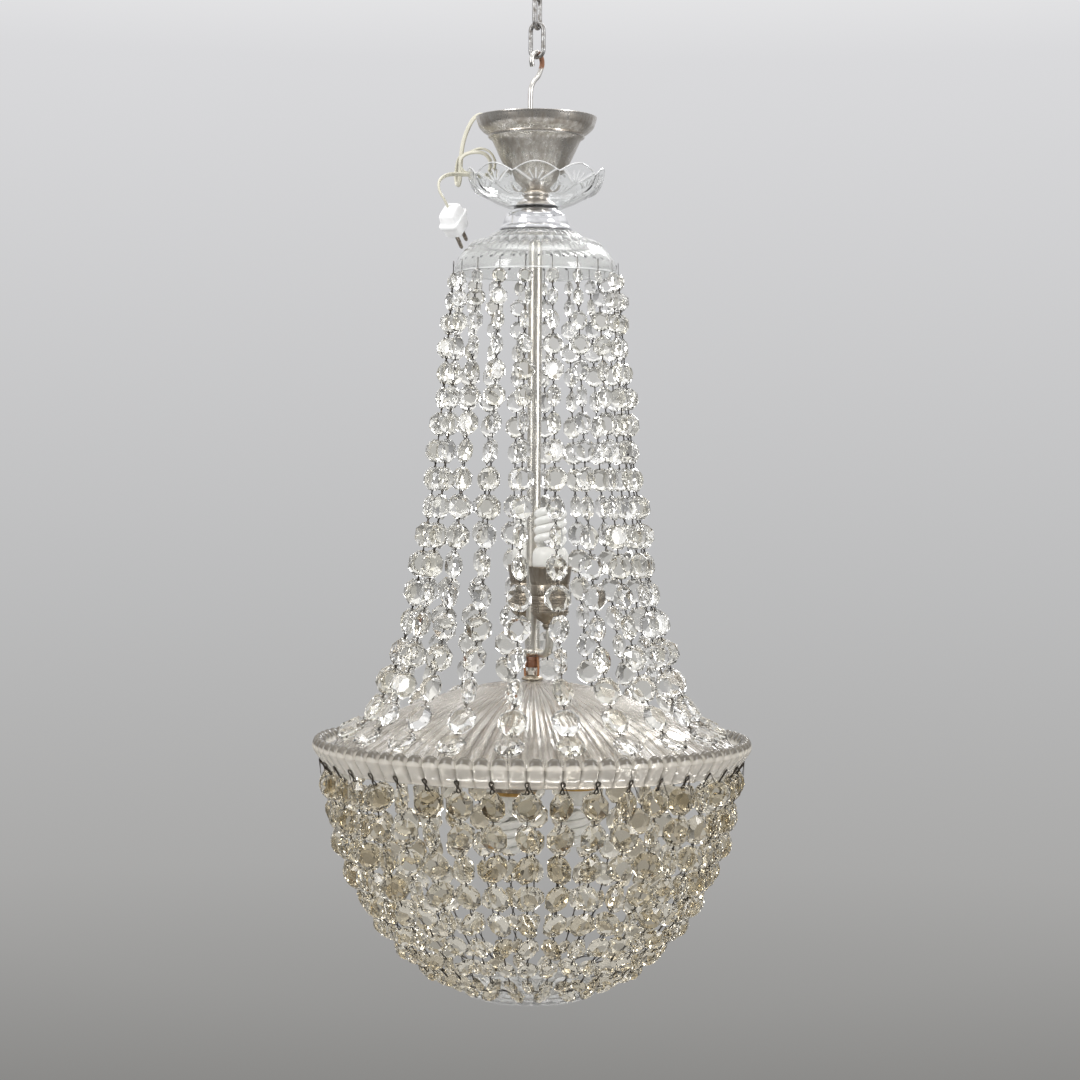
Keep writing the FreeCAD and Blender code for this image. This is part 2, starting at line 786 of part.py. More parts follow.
strand_top = dome_bottom + size.strand_head_rise
strand_head_radius = size.dome_radius + size.strand_head_gap
strand_foot = crown_level(size.strand_foot_radius - size.last_bead / 2) + size.strand_foot_rise
strand_hook_radius = size.strand_foot_radius + size.strand_hook_reach
edge_top = crown_level(size.plate_crown_radius) + size.edge_rise
strand_hook_level = max(crown_level(strand_hook_radius), edge_top - 2 * size.seat_gap) + 1
span = size.strand_foot_radius - strand_head_radius
scale = catenary_scale(span, strand_top - strand_foot)
strand_length = scale * math.sinh(span / scale)


def on_strand(run):
    """The (radius, level) at a run down the strand, and the string's slope there."""
    lean = math.asinh((strand_length - run) / scale)
    return size.strand_foot_radius - scale * lean, strand_foot + scale * (math.cosh(lean) - 1), lean


bead_total = int(size.strand_beads)
growth = [(i / (bead_total - 1)) ** 0.65 for i in range(bead_total)]
strand_sizes = [size.first_bead + (size.last_bead - size.first_bead) * g for g in growth]
pin_gap = (strand_length - sum(strand_sizes)) / bead_total
strand_corners = [4 if outline >= size.fine_cut_from else 3 for outline in strand_sizes]
strand_bases = [crystal(outline, corners) for outline, corners in zip(strand_sizes, strand_corners)]


def strand(bearing, number):
    """The beads and pins of one strand."""
    beads = []
    pins = []
    run = pin_gap / 2
    last = around(strand_head_radius, bearing, dome_bottom + size.dome_hole_height)
    for i, outline in enumerate(strand_sizes):
        radius, level, lean = on_strand(run + outline / 2)
        up = Vector(0, 0, math.sinh(lean)) - around(1, bearing, 0)
        up.normalize()
        centre = around(radius, bearing, level)
        lies_flat = i >= bead_total - 2
        spin = 0 if lies_flat else 137.5 * (number * bead_total + i)
        bead = strand_bases[i].copy()
        bead.Placement = aligned(centre, up, around(1, bearing, 0), spin)
        beads.append(bead)
        reach = bead_reach(outline, strand_corners[i]) + size.seat_gap
        pins.append(pin(last, centre + up * reach))
        last = centre - up * reach
        run += outline + pin_gap
    pins.append(pin(last, around(strand_hook_radius, bearing, strand_hook_level)))
    return beads, pins


strands = []
for number in range(int(size.strand_count)):
    bearing = size.strand_bearing + 360 * number / size.strand_count
    strands.append(strand(bearing, number))
pairs = len(strands) // 2
for number in range(pairs):
    pair = strands[number][0] + strands[number + pairs][0]
    piece(f"strand_pair_{number + 1:02d}", pair)
piece("strand_pins", [one for _, pins in strands for one in pins])


# Basket: rows of beads on an elliptical bowl


def on_basket(angle):
    """The (radius, level) on the bowl at an angle below its centre's level."""
    radius = size.basket_radius * math.cos(angle)
    return radius, size.basket_level - size.basket_depth * math.sin(angle)


def basket_angles():
    """The angles of the rows, spaced by the row pitch along the bowl."""
    angle = math.asin(size.basket_first_drop / size.basket_depth)
    angles = [angle]
    fine = 0.1
    while len(angles) < size.basket_rows:
        run = 0.0
        while run < size.basket_row_pitch:
            slope = math.hypot(
                size.basket_radius * math.sin(angle), size.basket_depth * math.cos(angle)
            )
            angle += fine / slope
            run += fine
        angles.append(angle)
    return angles


hook_level = crown_level(size.plate_crown_radius) - size.skirt_hole_drop
hook_radius = size.skirt_radius + size.skirt_flare + size.pin_wire / 2 + size.seat_gap
row_angles = basket_angles()
columns = int(size.basket_columns)
basket_pins = []
row_before = []
for number, angle in enumerate(row_angles):
    last_row = number == len(row_angles) - 1
    radius, level = on_basket(angle)
    count = columns // 2 if last_row else columns
    outline = min(size.basket_bead, 0.95 * 2 * math.pi * radius / count)
    if last_row:
        outline = min(size.basket_bead, 0.82 * 2 * math.pi * radius / count)
    outward_slope = size.basket_radius * math.sin(angle)
    upward_slope = size.basket_depth * math.cos(angle)
    base = crystal(outline, 3)
    reach = bead_reach(outline, 3) + size.seat_gap
    beads = []
    row_now = []
    for i in range(count):
        bearing = 360 * (i + 0.5 * last_row) / count + size.basket_bearing
        up = around(outward_slope, bearing, upward_slope).normalize()
        centre = around(radius, bearing, level)
        bead = base.copy()
        spin = 180 * last_row + size.basket_turn * math.sin(2.4 * (i + 7 * number))
        bead.Placement = aligned(centre, up, around(1, bearing, 0), spin)
        beads.append(bead)
        row_now.append((centre + up * reach, centre - up * reach))
    piece(f"basket_row_{number + 1}", beads)
    for i in range(columns):
        head, _ = row_now[i // 2 if last_row else i]
        if last_row:
            head = head + (row_before[i][1] - head).normalize() * size.pin_wire
        if number == 0:
            hole = around(hook_radius, 360 * i / columns + size.basket_bearing, hook_level)
            basket_pins.append(pin(hole, head))
        else:
            basket_pins.append(pin(row_before[i][1], head))
    row_before = row_now
dish_rim = on_basket(row_angles[-1])[1] - size.dish_drop
dish_hook_radius = size.dish_radius - size.dish_hook_inset
for i, (_, foot) in enumerate(row_before):
    bearing = 360 * (i + 0.5) / len(row_before) + size.basket_bearing
    basket_pins.append(pin(foot, around(dish_hook_radius, bearing, dish_rim + size.dish_hook_rise)))
piece("basket_pins", basket_pins)


def bottom_dish():
    """The panelled glass dish that closes the basket."""
    count = int(size.dish_panels)
    wide = size.dish_radius
    high = size.dish_height
    glass = size.dish_glass
    outside = [(0.34 * wide, 0), (0.54 * wide, 0.125 * high), (0.85 * wide, 0.44 * high)]
    outside += [(wide, 0.81 * high), (wide, high)]
    inside = [(wide - glass, high), (0.82 * wide, 0.62 * high), (0.52 * wide, 0.33 * high)]
    return turned([(0, 0)] + outside + inside + [(0, 0.19 * high)], count, closed=False)


piece("bottom_dish", bottom_dish(), dish_rim - size.dish_height)


# Supply cord: it rises from the canopy's floor, crosses its rim and lies in two loops on the bobeche

cord_route = [
    Vector(-8.4, 7.4, -217.95),
    Vector(-9.2, 8.1, -208.0),
    Vector(-18.0, 14.0, -193.0),
    Vector(-29.5, 19.5, -174.0),
    Vector(-41.0, 24.0, -153.0),
    Vector(-52.0, 27.0, -141.0),
    Vector(-62.5, 28.0, -143.0),
    Vector(-70.5, 27.0, -158.0),
    Vector(-75.0, 24.5, -175.0),
    Vector(-76.0, 22.5, -191.0),
    Vector(-76.5, 22.0, -206.1),
    Vector(-78.0, 28.4, -212.5),
    Vector(-80.0, 37.6, -212.5),
    Vector(-81.5, 44.0, -206.1),
    Vector(-81.0, 44.0, -193.0),
    Vector(-78.0, 39.0, -181.5),
]
loop_route = [
    Vector(-67.0, 29.0, -179.5),
    Vector(-56.0, 22.0, -175.5),
    Vector(-45.5, 19.5, -180.0),
    Vector(-40.5, 18.5, -190.0),
    Vector(-41.5, 17.5, -199.5),
    Vector(-46.5, 16.8, -206.5),
    Vector(-54.5, 16.2, -207.0),
    Vector(-62.0, 15.6, -200.5),
    Vector(-71.0, 14.8, -200.5),
    Vector(-76.3, 13.8, -195.5),
    Vector(-76.3, 12.6, -188.5),
    Vector(-71.0, 11.2, -183.5),
    Vector(-62.0, 10.0, -181.5),
    Vector(-52.0, 9.0, -182.5),
    Vector(-45.5, 8.6, -189.5),
    Vector(-45.0, 8.6, -199.0),
    Vector(-49.5, 8.6, -205.5),
    Vector(-57.5, 8.8, -206.5),
    Vector(-63.0, 8.8, -200.5),
]
tail_route = [
    Vector(-73.0, 8.0, -200.5),
    Vector(-83.0, 3.5, -201.5),
    Vector(-90.5, -4.0, -205.5),
    Vector(-96.8, -12.5, -213.5),
    Vector(-96.0, -18.0, -224.5),
    Vector(-88.9, -17.3, -232.9),
    Vector(-85.6, -11.1, -240.0),
]


def cord_path(route, cut_runs, bend=20):
    """Points along straight runs and tangent arcs, each arc as large as its two runs allow.

    An arc is stepped in turns of at most bend degrees. The radii of the arcs come with the points,
    and so do the places where a stretch ends: the ends, and the middle of each run in cut_runs.
    """
    points = [route[0]]
    radii = []
    cuts = [0]
    for number, (before, corner, after) in enumerate(zip(route, route[1:], route[2:]), start=1):
        incoming = corner - before
        outgoing = after - corner
        turn = incoming.getAngle(outgoing)
        setback = 0.45 * min(incoming.Length, outgoing.Length)
        radius = setback / math.tan(turn / 2)
        radii.append(radius)
        entry = corner - incoming.normalize() * setback
        outgoing.normalize()
        centre_way = (outgoing - incoming).normalize()
        centre = corner + centre_way * (radius / math.cos(turn / 2))
        steps = math.ceil(math.degrees(turn) / bend)
        for i in range(steps + 1):
            swept = turn * i / steps
            inward = centre - entry
            points.append(centre - inward * math.cos(swept) + incoming * (radius * math.sin(swept)))
        if number in cut_runs:
            cuts.append(len(points))
            points.append((corner + after) / 2)
    cuts.append(len(points))
    return points + [route[-1]], radii, cuts


def cord_stretch(label, path, rings):
    """One stretch of the flat twin flex."""
    solid = skin(rings, closed=False)
    length = sum((b - a).Length for a, b in zip(path, path[1:]))
    ratio = solid.Volume / (size.cord_width * size.cord_thickness * length)
    print(f"{label}: length {length:.1f}, volume ratio {ratio:.4f}")
    piece(label, solid)


def least_gap(path):
    """The least gap between stretches of a cord that are not beside each other on it."""
    marks = []
    run = 0.0
    for start, end in zip(path, path[1:]):
        pieces = max(1, round((end - start).Length / 1.5))
        for i in range(pieces):
            marks.append((run + (end - start).Length * i / pieces, start + (end - start) * (i / pieces)))
        run += (end - start).Length
    apart = 5 * size.cord_width
    return min((a - b).Length for s, a in marks for t, b in marks if t - s > apart) - size.cord_width


cut_runs = [len(cord_route) - 1, len(cord_route) + len(loop_route) - 1]
cord, cord_radii, cuts = cord_path(cord_route + loop_route + tail_route, cut_runs)
half_wide = size.cord_width / 2
half_thick = size.cord_thickness / 2
cord_section = [(-half_wide, -half_thick), (half_wide, -half_thick)]
cord_section += [(half_wide, half_thick), (-half_wide, half_thick)]
cord_rings = wire_rings(cord, cord_section, Vector(0, 1, 0.2))
for label, first, last in zip(["cord_lead", "cord_loops", "cord_tail"], cuts, cuts[1:]):
    cord_stretch(label, cord[first : last + 1], cord_rings[first : last + 1])
cord_length = sum((b - a).Length for a, b in zip(cord, cord[1:]))
print("cord radii", [round(radius, 1) for radius in cord_radii])
print(f"cord length {cord_length:.0f}, least gap to itself {least_gap(cord):.2f}")

# Plug on the cord's end

plug_direction = Vector(0.33, 0.62, -0.71).normalize()
plug_place = aligned(tail_route[-1], plug_direction, Vector(1, -0.6, 0), 0)


def oval(width, depth, height):
    """Twelve points round an oval in a level plane."""
    angles = [2 * math.pi * (i + 0.5) / 12 for i in range(12)]
    return [Vector(width / 2 * math.cos(a), depth / 2 * math.sin(a), height) for a in angles]


def plug_body():
    """The plug's housing with its finger flange."""
    wide = size.plug_width
    deep = size.plug_depth
    long = size.plug_length
    outline = [(0.4, 0.5, 0.0), (0.72, 0.8, 0.12), (0.95, 0.95, 0.45), (1.15, 1.15, 0.5)]
    outline += [(1.15, 1.15, 0.6), (0.93, 0.93, 0.64), (0.9, 0.9, 1.0)]
    return skin([oval(w * wide, d * deep, h * long) for w, d, h in outline], closed=False)


def plug_pin(side):
    """One round contact pin."""
    corners = [(0, 0), (size.plug_pin_radius, 0), (size.plug_pin_radius, 0.9 * size.plug_pin_length)]
    corners += [(0.5 * size.plug_pin_radius, size.plug_pin_length), (0, size.plug_pin_length)]
    solid = turned(corners, 8, closed=False)
    solid.translate(Vector(side * size.plug_pin_spacing / 2, 0, size.plug_length + size.seat_gap))
    return solid


plug = piece("plug_body", plug_body())
plug.Placement = plug_place
contacts = piece("plug_pins", [plug_pin(-1), plug_pin(1)])
contacts.Placement = plug_place

# Check and write

doc.recompute()
for item in doc.Objects:
    bad = {"Invalid", "Error"} & set(item.State)
    if bad:
        raise RuntimeError(f"{item.Label} is {bad}")
os.makedirs("parts", exist_ok=True)
for part in parts:
    if part.Shape.isNull() or not part.Shape.isValid():
        raise RuntimeError(f"{part.Label} has no valid shape")
    part.Shape.exportStep(f"parts/{part.Label}.step")
print(f"{len(parts)} parts, pivots {[round(p, 2) for p in pivots]}, {hook_bottom:.2f}")
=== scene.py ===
import math
import random

import bmesh
import bpy
from bpy.props import FloatProperty, FloatVectorProperty, IntProperty, PointerProperty
from mathutils import Matrix, Vector


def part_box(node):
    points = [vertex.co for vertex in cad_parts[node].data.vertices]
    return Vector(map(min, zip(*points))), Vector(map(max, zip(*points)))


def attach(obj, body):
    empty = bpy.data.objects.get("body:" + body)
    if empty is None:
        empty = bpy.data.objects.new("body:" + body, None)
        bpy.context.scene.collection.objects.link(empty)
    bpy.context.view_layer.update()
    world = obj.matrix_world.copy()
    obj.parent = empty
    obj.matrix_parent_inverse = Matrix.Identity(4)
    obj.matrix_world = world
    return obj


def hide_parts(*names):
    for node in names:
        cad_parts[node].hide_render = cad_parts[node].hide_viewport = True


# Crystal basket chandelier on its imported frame.
# Shapes are worked out in millimetres and brought to metres when a piece is finished.
# A bearing is an angle about Z that is counted from the front, and grows towards the right.

bl_info = {
    "name": "Crystal Basket Chandelier",
    "version": (1, 0, 0),
    "blender": (4, 5, 0),
    "location": "View3D > Sidebar > Chandelier",
    "description": "Dresses the packed frame of a jointed crystal chandelier",
    "category": "Object",
}

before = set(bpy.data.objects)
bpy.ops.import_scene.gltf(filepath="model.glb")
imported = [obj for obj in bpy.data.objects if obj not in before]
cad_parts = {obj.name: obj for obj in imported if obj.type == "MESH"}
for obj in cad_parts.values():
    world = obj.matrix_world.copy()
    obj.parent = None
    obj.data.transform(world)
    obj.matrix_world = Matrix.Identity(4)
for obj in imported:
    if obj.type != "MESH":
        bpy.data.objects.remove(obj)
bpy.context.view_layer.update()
MM = 0.001

# What more than one piece shares: a radius in millimetres, two counts and a bearing in degrees.
BORE = 5.3
DOME_HOLES = 40
STRANDS = 20
STRAND_START = -6.4


def levels(node):
    """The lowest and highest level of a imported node, in millimetres."""
    low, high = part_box(node)
    return low.z / MM, high.z / MM


# Sizes and colours


def length(name, description, default):
    """A length that the panel shows in the scene's units."""
    return FloatProperty(name=name, description=description, default=default, min=0.0, unit="LENGTH")


def colour(name, description, default):
    """A colour that the panel shows as a swatch."""
    return FloatVectorProperty(
        name=name, description=description, default=default, size=3, min=0.0, max=1.0, subtype="COLOR"
    )


class ChandelierSizes(bpy.types.PropertyGroup):
    """Sizes of the visible pieces."""

    chain_wire: length("Chain wire", "Thickness of the chain's wire", 0.0045)
    hook_wire: length("Hook wire", "Thickness of the hook's and eye's wire", 0.005)
    canopy_wall: length("Canopy wall", "Thickness of the spun canopy", 0.0013)
    bobeche_radius: length("Bobeche radius", "Radius of the scalloped glass dish", 0.0685)
    bobeche_lobes: IntProperty(name="Bobeche lobes", description="Scallops round the dish", default=9)
    scallop_depth: length("Scallop depth", "How far the rim dips between two scallops", 0.009)
    dome_radius: length("Dome radius", "Radius of the pressed-glass dome", 0.0815)
    tube_radius: length("Tube radius", "Radius of the central tube", 0.007)
    plate_radius: length("Plate radius", "Radius of the ribbed plate's rope edge", 0.2195)
    plate_flutes: IntProperty(name="Plate flutes", description="Flutes round the plate", default=80)
    first_bead: length("First bead", "Width of a strand's top bead", 0.0145)
    last_bead: length("Last bead", "Width of a strand's bottom bead", 0.0275)
    basket_bead: length("Basket bead", "Width of the basket's upper beads", 0.0275)
    bead_thickness: FloatProperty(
        name="Bead thickness", description="A bead's thickness as a share of its outline", default=0.44
    )
    pin_wire: length("Pin wire", "Thickness of the beads' bent pins", 0.001)
    dish_radius: length("Dish radius", "Radius of the bottom dish", 0.070)
    cord_width: length("Cord width", "Width of the flat twin flex", 0.0044)
    cord_thickness: length("Cord thickness", "Thickness of the flat twin flex", 0.0028)


class ChandelierColours(bpy.types.PropertyGroup):
    """Colours of the main finishes."""

    silver: colour("Silver", "Bare silver plate on the canopy", (0.84, 0.81, 0.765))
    tarnish: colour("Tarnish", "Tarnish on the canopy", (0.46, 0.405, 0.345))
    nickel: colour("Nickel", "Satin nickel plate", (0.89, 0.865, 0.81))
    crystal: colour("Crystal", "Clear cut crystal", (0.985, 0.98, 0.96))
    warm_crystal: colour("Warm crystal", "Basket crystal", (0.90, 0.86, 0.76))
    plate_glass: colour("Plate glass", "Ribbed plate", (0.90, 0.86, 0.80))
    cord: colour("Cord", "Ivory flex", (0.76, 0.73, 0.60))
    wall_top: colour("Wall top", "Upper part of the backdrop", (0.70, 0.70, 0.715))
    wall_foot: colour("Wall foot", "Lower part of the backdrop", (0.270, 0.266, 0.258))


def size(name):
    """One of the panel's lengths, in millimetres."""
    return getattr(bpy.context.scene.chandelier_sizes, name) / MM


def number(name):
    """One of the panel's counts or shares."""
    return getattr(bpy.context.scene.chandelier_sizes, name)


def tint(name):
    """One of the panel's colours."""
    return tuple(getattr(bpy.context.scene.chandelier_colours, name))


# Shader building


class Signal:
    """An output socket; Python's operators on it add Math nodes."""

    def __init__(self, finish, socket):
        self.finish = finish
        self.socket = socket

    def math(self, operation, *others):
        return self.finish.math(operation, self, *others)

    def __add__(self, other):
        return self.math("ADD", other)

    def __sub__(self, other):
        return self.math("SUBTRACT", other)

    def __mul__(self, other):
        return self.math("MULTIPLY", other)

    def __truediv__(self, other):
        return self.math("DIVIDE", other)

    def __pow__(self, other):
        return self.math("POWER", other)

    def __rsub__(self, other):
        return self.finish.math("SUBTRACT", other, self)

    def clipped(self):
        """The value kept between 0 and 1."""
        return self.math("MAXIMUM", 0.0).math("MINIMUM", 1.0)


class Finish:
    """A material whose nodes are added one by one."""

    def __init__(self, name):
        self.material = bpy.data.materials.new(f"{name}_finish")
        self.material.use_nodes = True
        self.tree = self.material.node_tree
        self.tree.nodes.clear()

    def node(self, kind, settings=(), inputs=()):
        """A node with its settings made first, then its inputs' values or links."""
        made = self.tree.nodes.new(kind)
        for name, value in dict(settings).items():
            if name == "stops":
                ramp = made.color_ramp
                while len(ramp.elements) < len(value):
                    ramp.elements.new(1.0)
                for element, (place, shade) in zip(ramp.elements, value):
                    element.position = place
                    element.color = (*shade, 1.0) if isinstance(shade, tuple) else (shade,) * 3 + (1.0,)
            else:
                setattr(made, name, value)
        for name, value in dict(inputs).items():
            if isinstance(value, Signal):
                self.tree.links.new(value.socket, made.inputs[name])
            elif isinstance(value, tuple) and made.inputs[name].type == "RGBA":
                made.inputs[name].default_value = (*value, 1.0)
            else:
                made.inputs[name].default_value = value
        return made

    def signal(self, kind, settings=(), inputs=(), output=0):
        """The chosen output of a new node."""
        return Signal(self, self.node(kind, settings, inputs).outputs[output])

    def math(self, operation, *values):
        return self.signal("ShaderNodeMath", {"operation": operation}, dict(enumerate(values)))

    def place(self):
        """Object coordinates."""
        return self.signal("ShaderNodeTexCoord", output="Object")

    def axes(self):
        """Object coordinates as three values."""
        parts = self.node("ShaderNodeSeparateXYZ", inputs={0: self.place()})
        return [Signal(self, output) for output in parts.outputs]

    def stretched(self, x, y, z):
        """Object coordinates scaled along each axis."""
        return self.signal("ShaderNodeMapping", inputs={"Vector": self.place(), "Scale": (x, y, z)})

    def noise(self, scale, detail=3.0, roughness=0.5, vector=None):
        inputs = {"Scale": scale, "Detail": detail, "Roughness": roughness, "Vector": vector or self.place()}
        return self.signal("ShaderNodeTexNoise", inputs=inputs)

    def ramp(self, value, stops):
        return self.signal("ShaderNodeValToRGB", {"stops": stops}, {"Fac": value})

    def mix(self, share, first, second, blend="MIX"):
        settings = {"data_type": "RGBA", "blend_type": blend}
        return self.signal("ShaderNodeMix", settings, {0: share, 6: first, 7: second}, output=2)

    def bump(self, height, distance, strength=1.0):
        inputs = {"Height": height, "Distance": distance, "Strength": strength}
        return self.signal("ShaderNodeBump", inputs=inputs)

    def attribute(self, name):
        return self.signal("ShaderNodeAttribute", {"attribute_name": name}, output="Fac")

    def shader(self, **inputs):
        """A main shader, its inputs named with underscores."""
        named = {name.replace("_", " "): value for name, value in inputs.items()}
        return self.signal("ShaderNodeBsdfPrincipled", inputs=named)

    def blend(self, share, first, second):
        """Two shaders mixed, by a share of the second."""
        return self.signal("ShaderNodeMixShader", inputs={0: share, 1: first, 2: second})

    def finished(self, shader):
        """The material with this shader as its surface."""
        self.node("ShaderNodeOutputMaterial", inputs={"Surface": shader})
        return self.material

    def surface(self, **inputs):
        """The material with one main shader."""
        return self.finished(self.shader(**inputs))


def plated(name, light, dark, smooth, rough, scale, stretch=(1, 1, 1), grain=0.00004):
    """A plated metal, mottled between two colours and two roughnesses."""
    finish = Finish(name)
    cloud = finish.noise(scale, 5.0, 0.6, finish.stretched(*stretch))
    speck = finish.noise(scale * 9, 3.0, 0.6)
    worn = ((cloud - 0.36) * 3.4 + (speck - 0.5) * 0.5).clipped()
    return finish.surface(
        Base_Color=finish.mix(worn, light, dark),
        Metallic=1.0,
        Roughness=worn * (rough - smooth) + smooth,
        Normal=finish.bump(speck + cloud, grain),
    )


# A hole's radius, and the holes' distance from the axis and below the origin, in metres. The holes aren't cut; shade
# is painted on them as dark spots.
HOLE, HOLES_RADIUS, HOLES_DEPTH = 0.0013, 0.079, 0.2925


def painted_hole_shade(finish):
    """1 at the small holes round the dome's edge, where shade is painted as dark spots, 0 elsewhere."""
    pitch = math.radians(360 / DOME_HOLES)
    start = DOME_HOLES + 0.5 - STRAND_START / (360 / DOME_HOLES)
    x, y, z = finish.axes()
    cell = (x.math("ARCTAN2", y * -1.0) / pitch + start).math("FRACT") - 0.5
    aside = cell * (pitch * HOLES_RADIUS)
    above = z + HOLES_DEPTH
    return ((HOLE - (aside * aside + above * above).math("SQRT")) * 2500.0).clipped()


def clear_glass(name, shade, deep, ior, rough, wave, wave_scale, haze=0.0):
    """Clear glass with slight mould waves, ground white along its cuts, with painted shade as dark spots at the
    dome's small holes.
    """
    finish = Finish(name)
    drift = finish.noise(14.0, 2.0)
    waves = finish.noise(wave_scale, 2.0, 0.4)
    film = finish.noise(170.0, 3.0, 0.6)
    # Painted shade: the clear shader's base colour is nearly black at the dome's small holes.
    clear = finish.shader(
        Base_Color=finish.mix(painted_hole_shade(finish), finish.mix(drift, shade, deep), (0.04, 0.04, 0.04)),
        Roughness=(film - 0.55).clipped() * 0.08 + rough,
        Normal=finish.bump(waves, wave),
        IOR=ior,
        Transmission_Weight=1.0,
    )
    ground = finish.shader(
        Base_Color=finish.mix(film, (0.97, 0.975, 0.97), (0.86, 0.865, 0.86)),
        Roughness=0.35,
        Transmission_Weight=0.35,
    )
    share = (finish.attribute("ground") * (film * 0.8 + 0.6) + haze).clipped()
    return finish.finished(finish.blend(share, clear, ground))


def crystal(name, shade, deep):
    """Cut crystal whose tint differs from bead to bead."""
    finish = Finish(name)
    tone = finish.attribute("tone")
    film = finish.noise(260.0, 3.0, 0.6)
    return finish.surface(
        Base_Color=finish.mix(tone ** 1.6, shade, deep),
        Roughness=(film - 0.60).clipped() * 0.1,
        IOR=1.52,
        Transmission_Weight=1.0,
    )


def moulded(name, light, dark, roughness, scale, grain, coat=0.0):
    """A moulded plastic or rubber with a faint grain."""
    finish = Finish(name)
    grime = finish.noise(scale, 4.0, 0.6)
    fine = finish.noise(scale * 14, 2.0)
    return finish.surface(
        Base_Color=finish.mix(grime, light, dark),
        Roughness=(grime - 0.5) * 0.2 + roughness,
        Normal=finish.bump(fine, grain),
        Coat_Weight=coat,
    )


# The middle of the hook's rusty patch and how far it reaches, in metres.
RUST_PLACE = (0.004, 0.006, -0.0895)
RUST_REACH = 0.011


def hook_zinc(name):
    """Zinc-white wire with rust where the chain rubs inside the upper bow."""
    finish = Finish(name)
    cloud = finish.noise(180.0, 4.0, 0.6)
    ends = {0: finish.place(), 1: RUST_PLACE}
    apart = finish.signal("ShaderNodeVectorMath", {"operation": "DISTANCE"}, ends, output="Value")
    rust = ((RUST_REACH - apart + (cloud - 0.5) * 0.012) * 420.0).clipped()
    pits = finish.noise(900.0, 3.0, 0.7)
    plain = finish.mix(cloud, (0.80, 0.78, 0.74), (0.58, 0.56, 0.53))
    rusty = finish.mix(pits, (0.36, 0.17, 0.09), (0.17, 0.08, 0.05))
    return finish.surface(
        Base_Color=finish.mix(rust, plain, rusty),
        Metallic=1.0 - rust * 0.85,
        Roughness=rust * 0.5 + 0.28,
        Normal=finish.bump(pits * rust + cloud * 0.2, 0.0002),
    )


# The depths below the origin, in metres, of the canopy's step and rim, where bands of bare, smoother silver are
# painted as highlights.
STEP_DEPTH, RIM_DEPTH = 0.1678, 0.1500


def tarnished_silver(name):
    """Spun silver plate: brown tarnish in clouds and runs, with painted highlights of bare, smoother silver along its
    step and, weaker, along its rim.
    """
    finish = Finish(name)
    z = finish.axes()[2]
    cloud = finish.noise(48.0, 9.0, 0.72, finish.stretched(1, 1, 0.7))
    runs = finish.noise(240.0, 5.0, 0.6, finish.stretched(1, 1, 0.10))
    speck = finish.noise(700.0, 3.0, 0.7)
    worn = ((cloud - 0.5) * 2.1 + (runs - 0.5) * 2.2 + (speck - 0.5) * 0.9 + 0.44).clipped()
    # Painted highlight: narrow bands at the step and at the rim lose their tarnish and their roughness.
    step = (1.0 - (z + STEP_DEPTH).math("ABSOLUTE") / 0.0017).clipped()
    rim = (1.0 - (z + RIM_DEPTH).math("ABSOLUTE") / 0.0022).clipped()
    painted_highlight = (step + rim * 0.6).clipped()
    spun = (z * 5200.0).math("SINE")
    tone = worn * (1.0 - painted_highlight)
    return finish.surface(
        Base_Color=finish.mix(tone, tint("silver"), tint("tarnish")),
        Metallic=1.0,
        Roughness=tone * 0.22 + 0.22,
        Normal=finish.bump(spun * 0.4 + speck + cloud, 0.00003),
    )


def ribbed_glass(name):
    """Pressed plate glass, a little milky, with streaks from its middle, and painted shade from a dark brown-grey
    shader in its flute grooves, on its rope's scallop tops and at its skirt's flute edges.
    """
    finish = Finish(name)
    x, y, z = finish.axes()
    bearing = x.math("ARCTAN2", y)
    reach = (x * x + y * y).math("SQRT")
    along = finish.signal("ShaderNodeCombineXYZ", inputs={0: bearing * 26.0, 1: reach * 9.0, 2: z * 9.0})
    streak = finish.noise(3.0, 4.0, 0.55, along)
    cloud = finish.noise(16.0, 4.0, 0.6)
    fine = finish.noise(240.0, 3.0, 0.6)
    light = tint("plate_glass")
    dark = tuple(0.88 * part for part in light)
    clear = finish.shader(
        Base_Color=finish.mix((streak * 0.7 + cloud * 0.5 - 0.2).clipped(), light, dark),
        Roughness=(fine - 0.5).clipped() * 0.2 + 0.04,
        Normal=finish.bump(streak, 0.0003),
        IOR=1.5,
        Transmission_Weight=0.90,
    )
    milky = finish.shader(
        Base_Color=finish.mix(cloud, (0.86, 0.82, 0.735), (0.72, 0.67, 0.58)),
        Roughness=0.25,
        Transmission_Weight=0.3,
    )
    # Painted shade: a dark brown-grey shader, mixed in by the mesh layer of painted shade.
    deep = finish.shader(
        Base_Color=finish.mix(cloud, (0.17, 0.148, 0.118), (0.10, 0.087, 0.068)),
        Roughness=0.12,
        Transmission_Weight=0.3,
    )
    pale = finish.blend(finish.attribute("ground"), clear, milky)
    return finish.finished(finish.blend(finish.attribute("hollow"), pale, deep))


def cord_plastic(name):
    """Ivory flex, yellowed and handled."""
    light = tint("cord")
    return moulded(name, light, tuple(0.72 * part for part in light), 0.42, 60.0, 0.00005, 0.15)


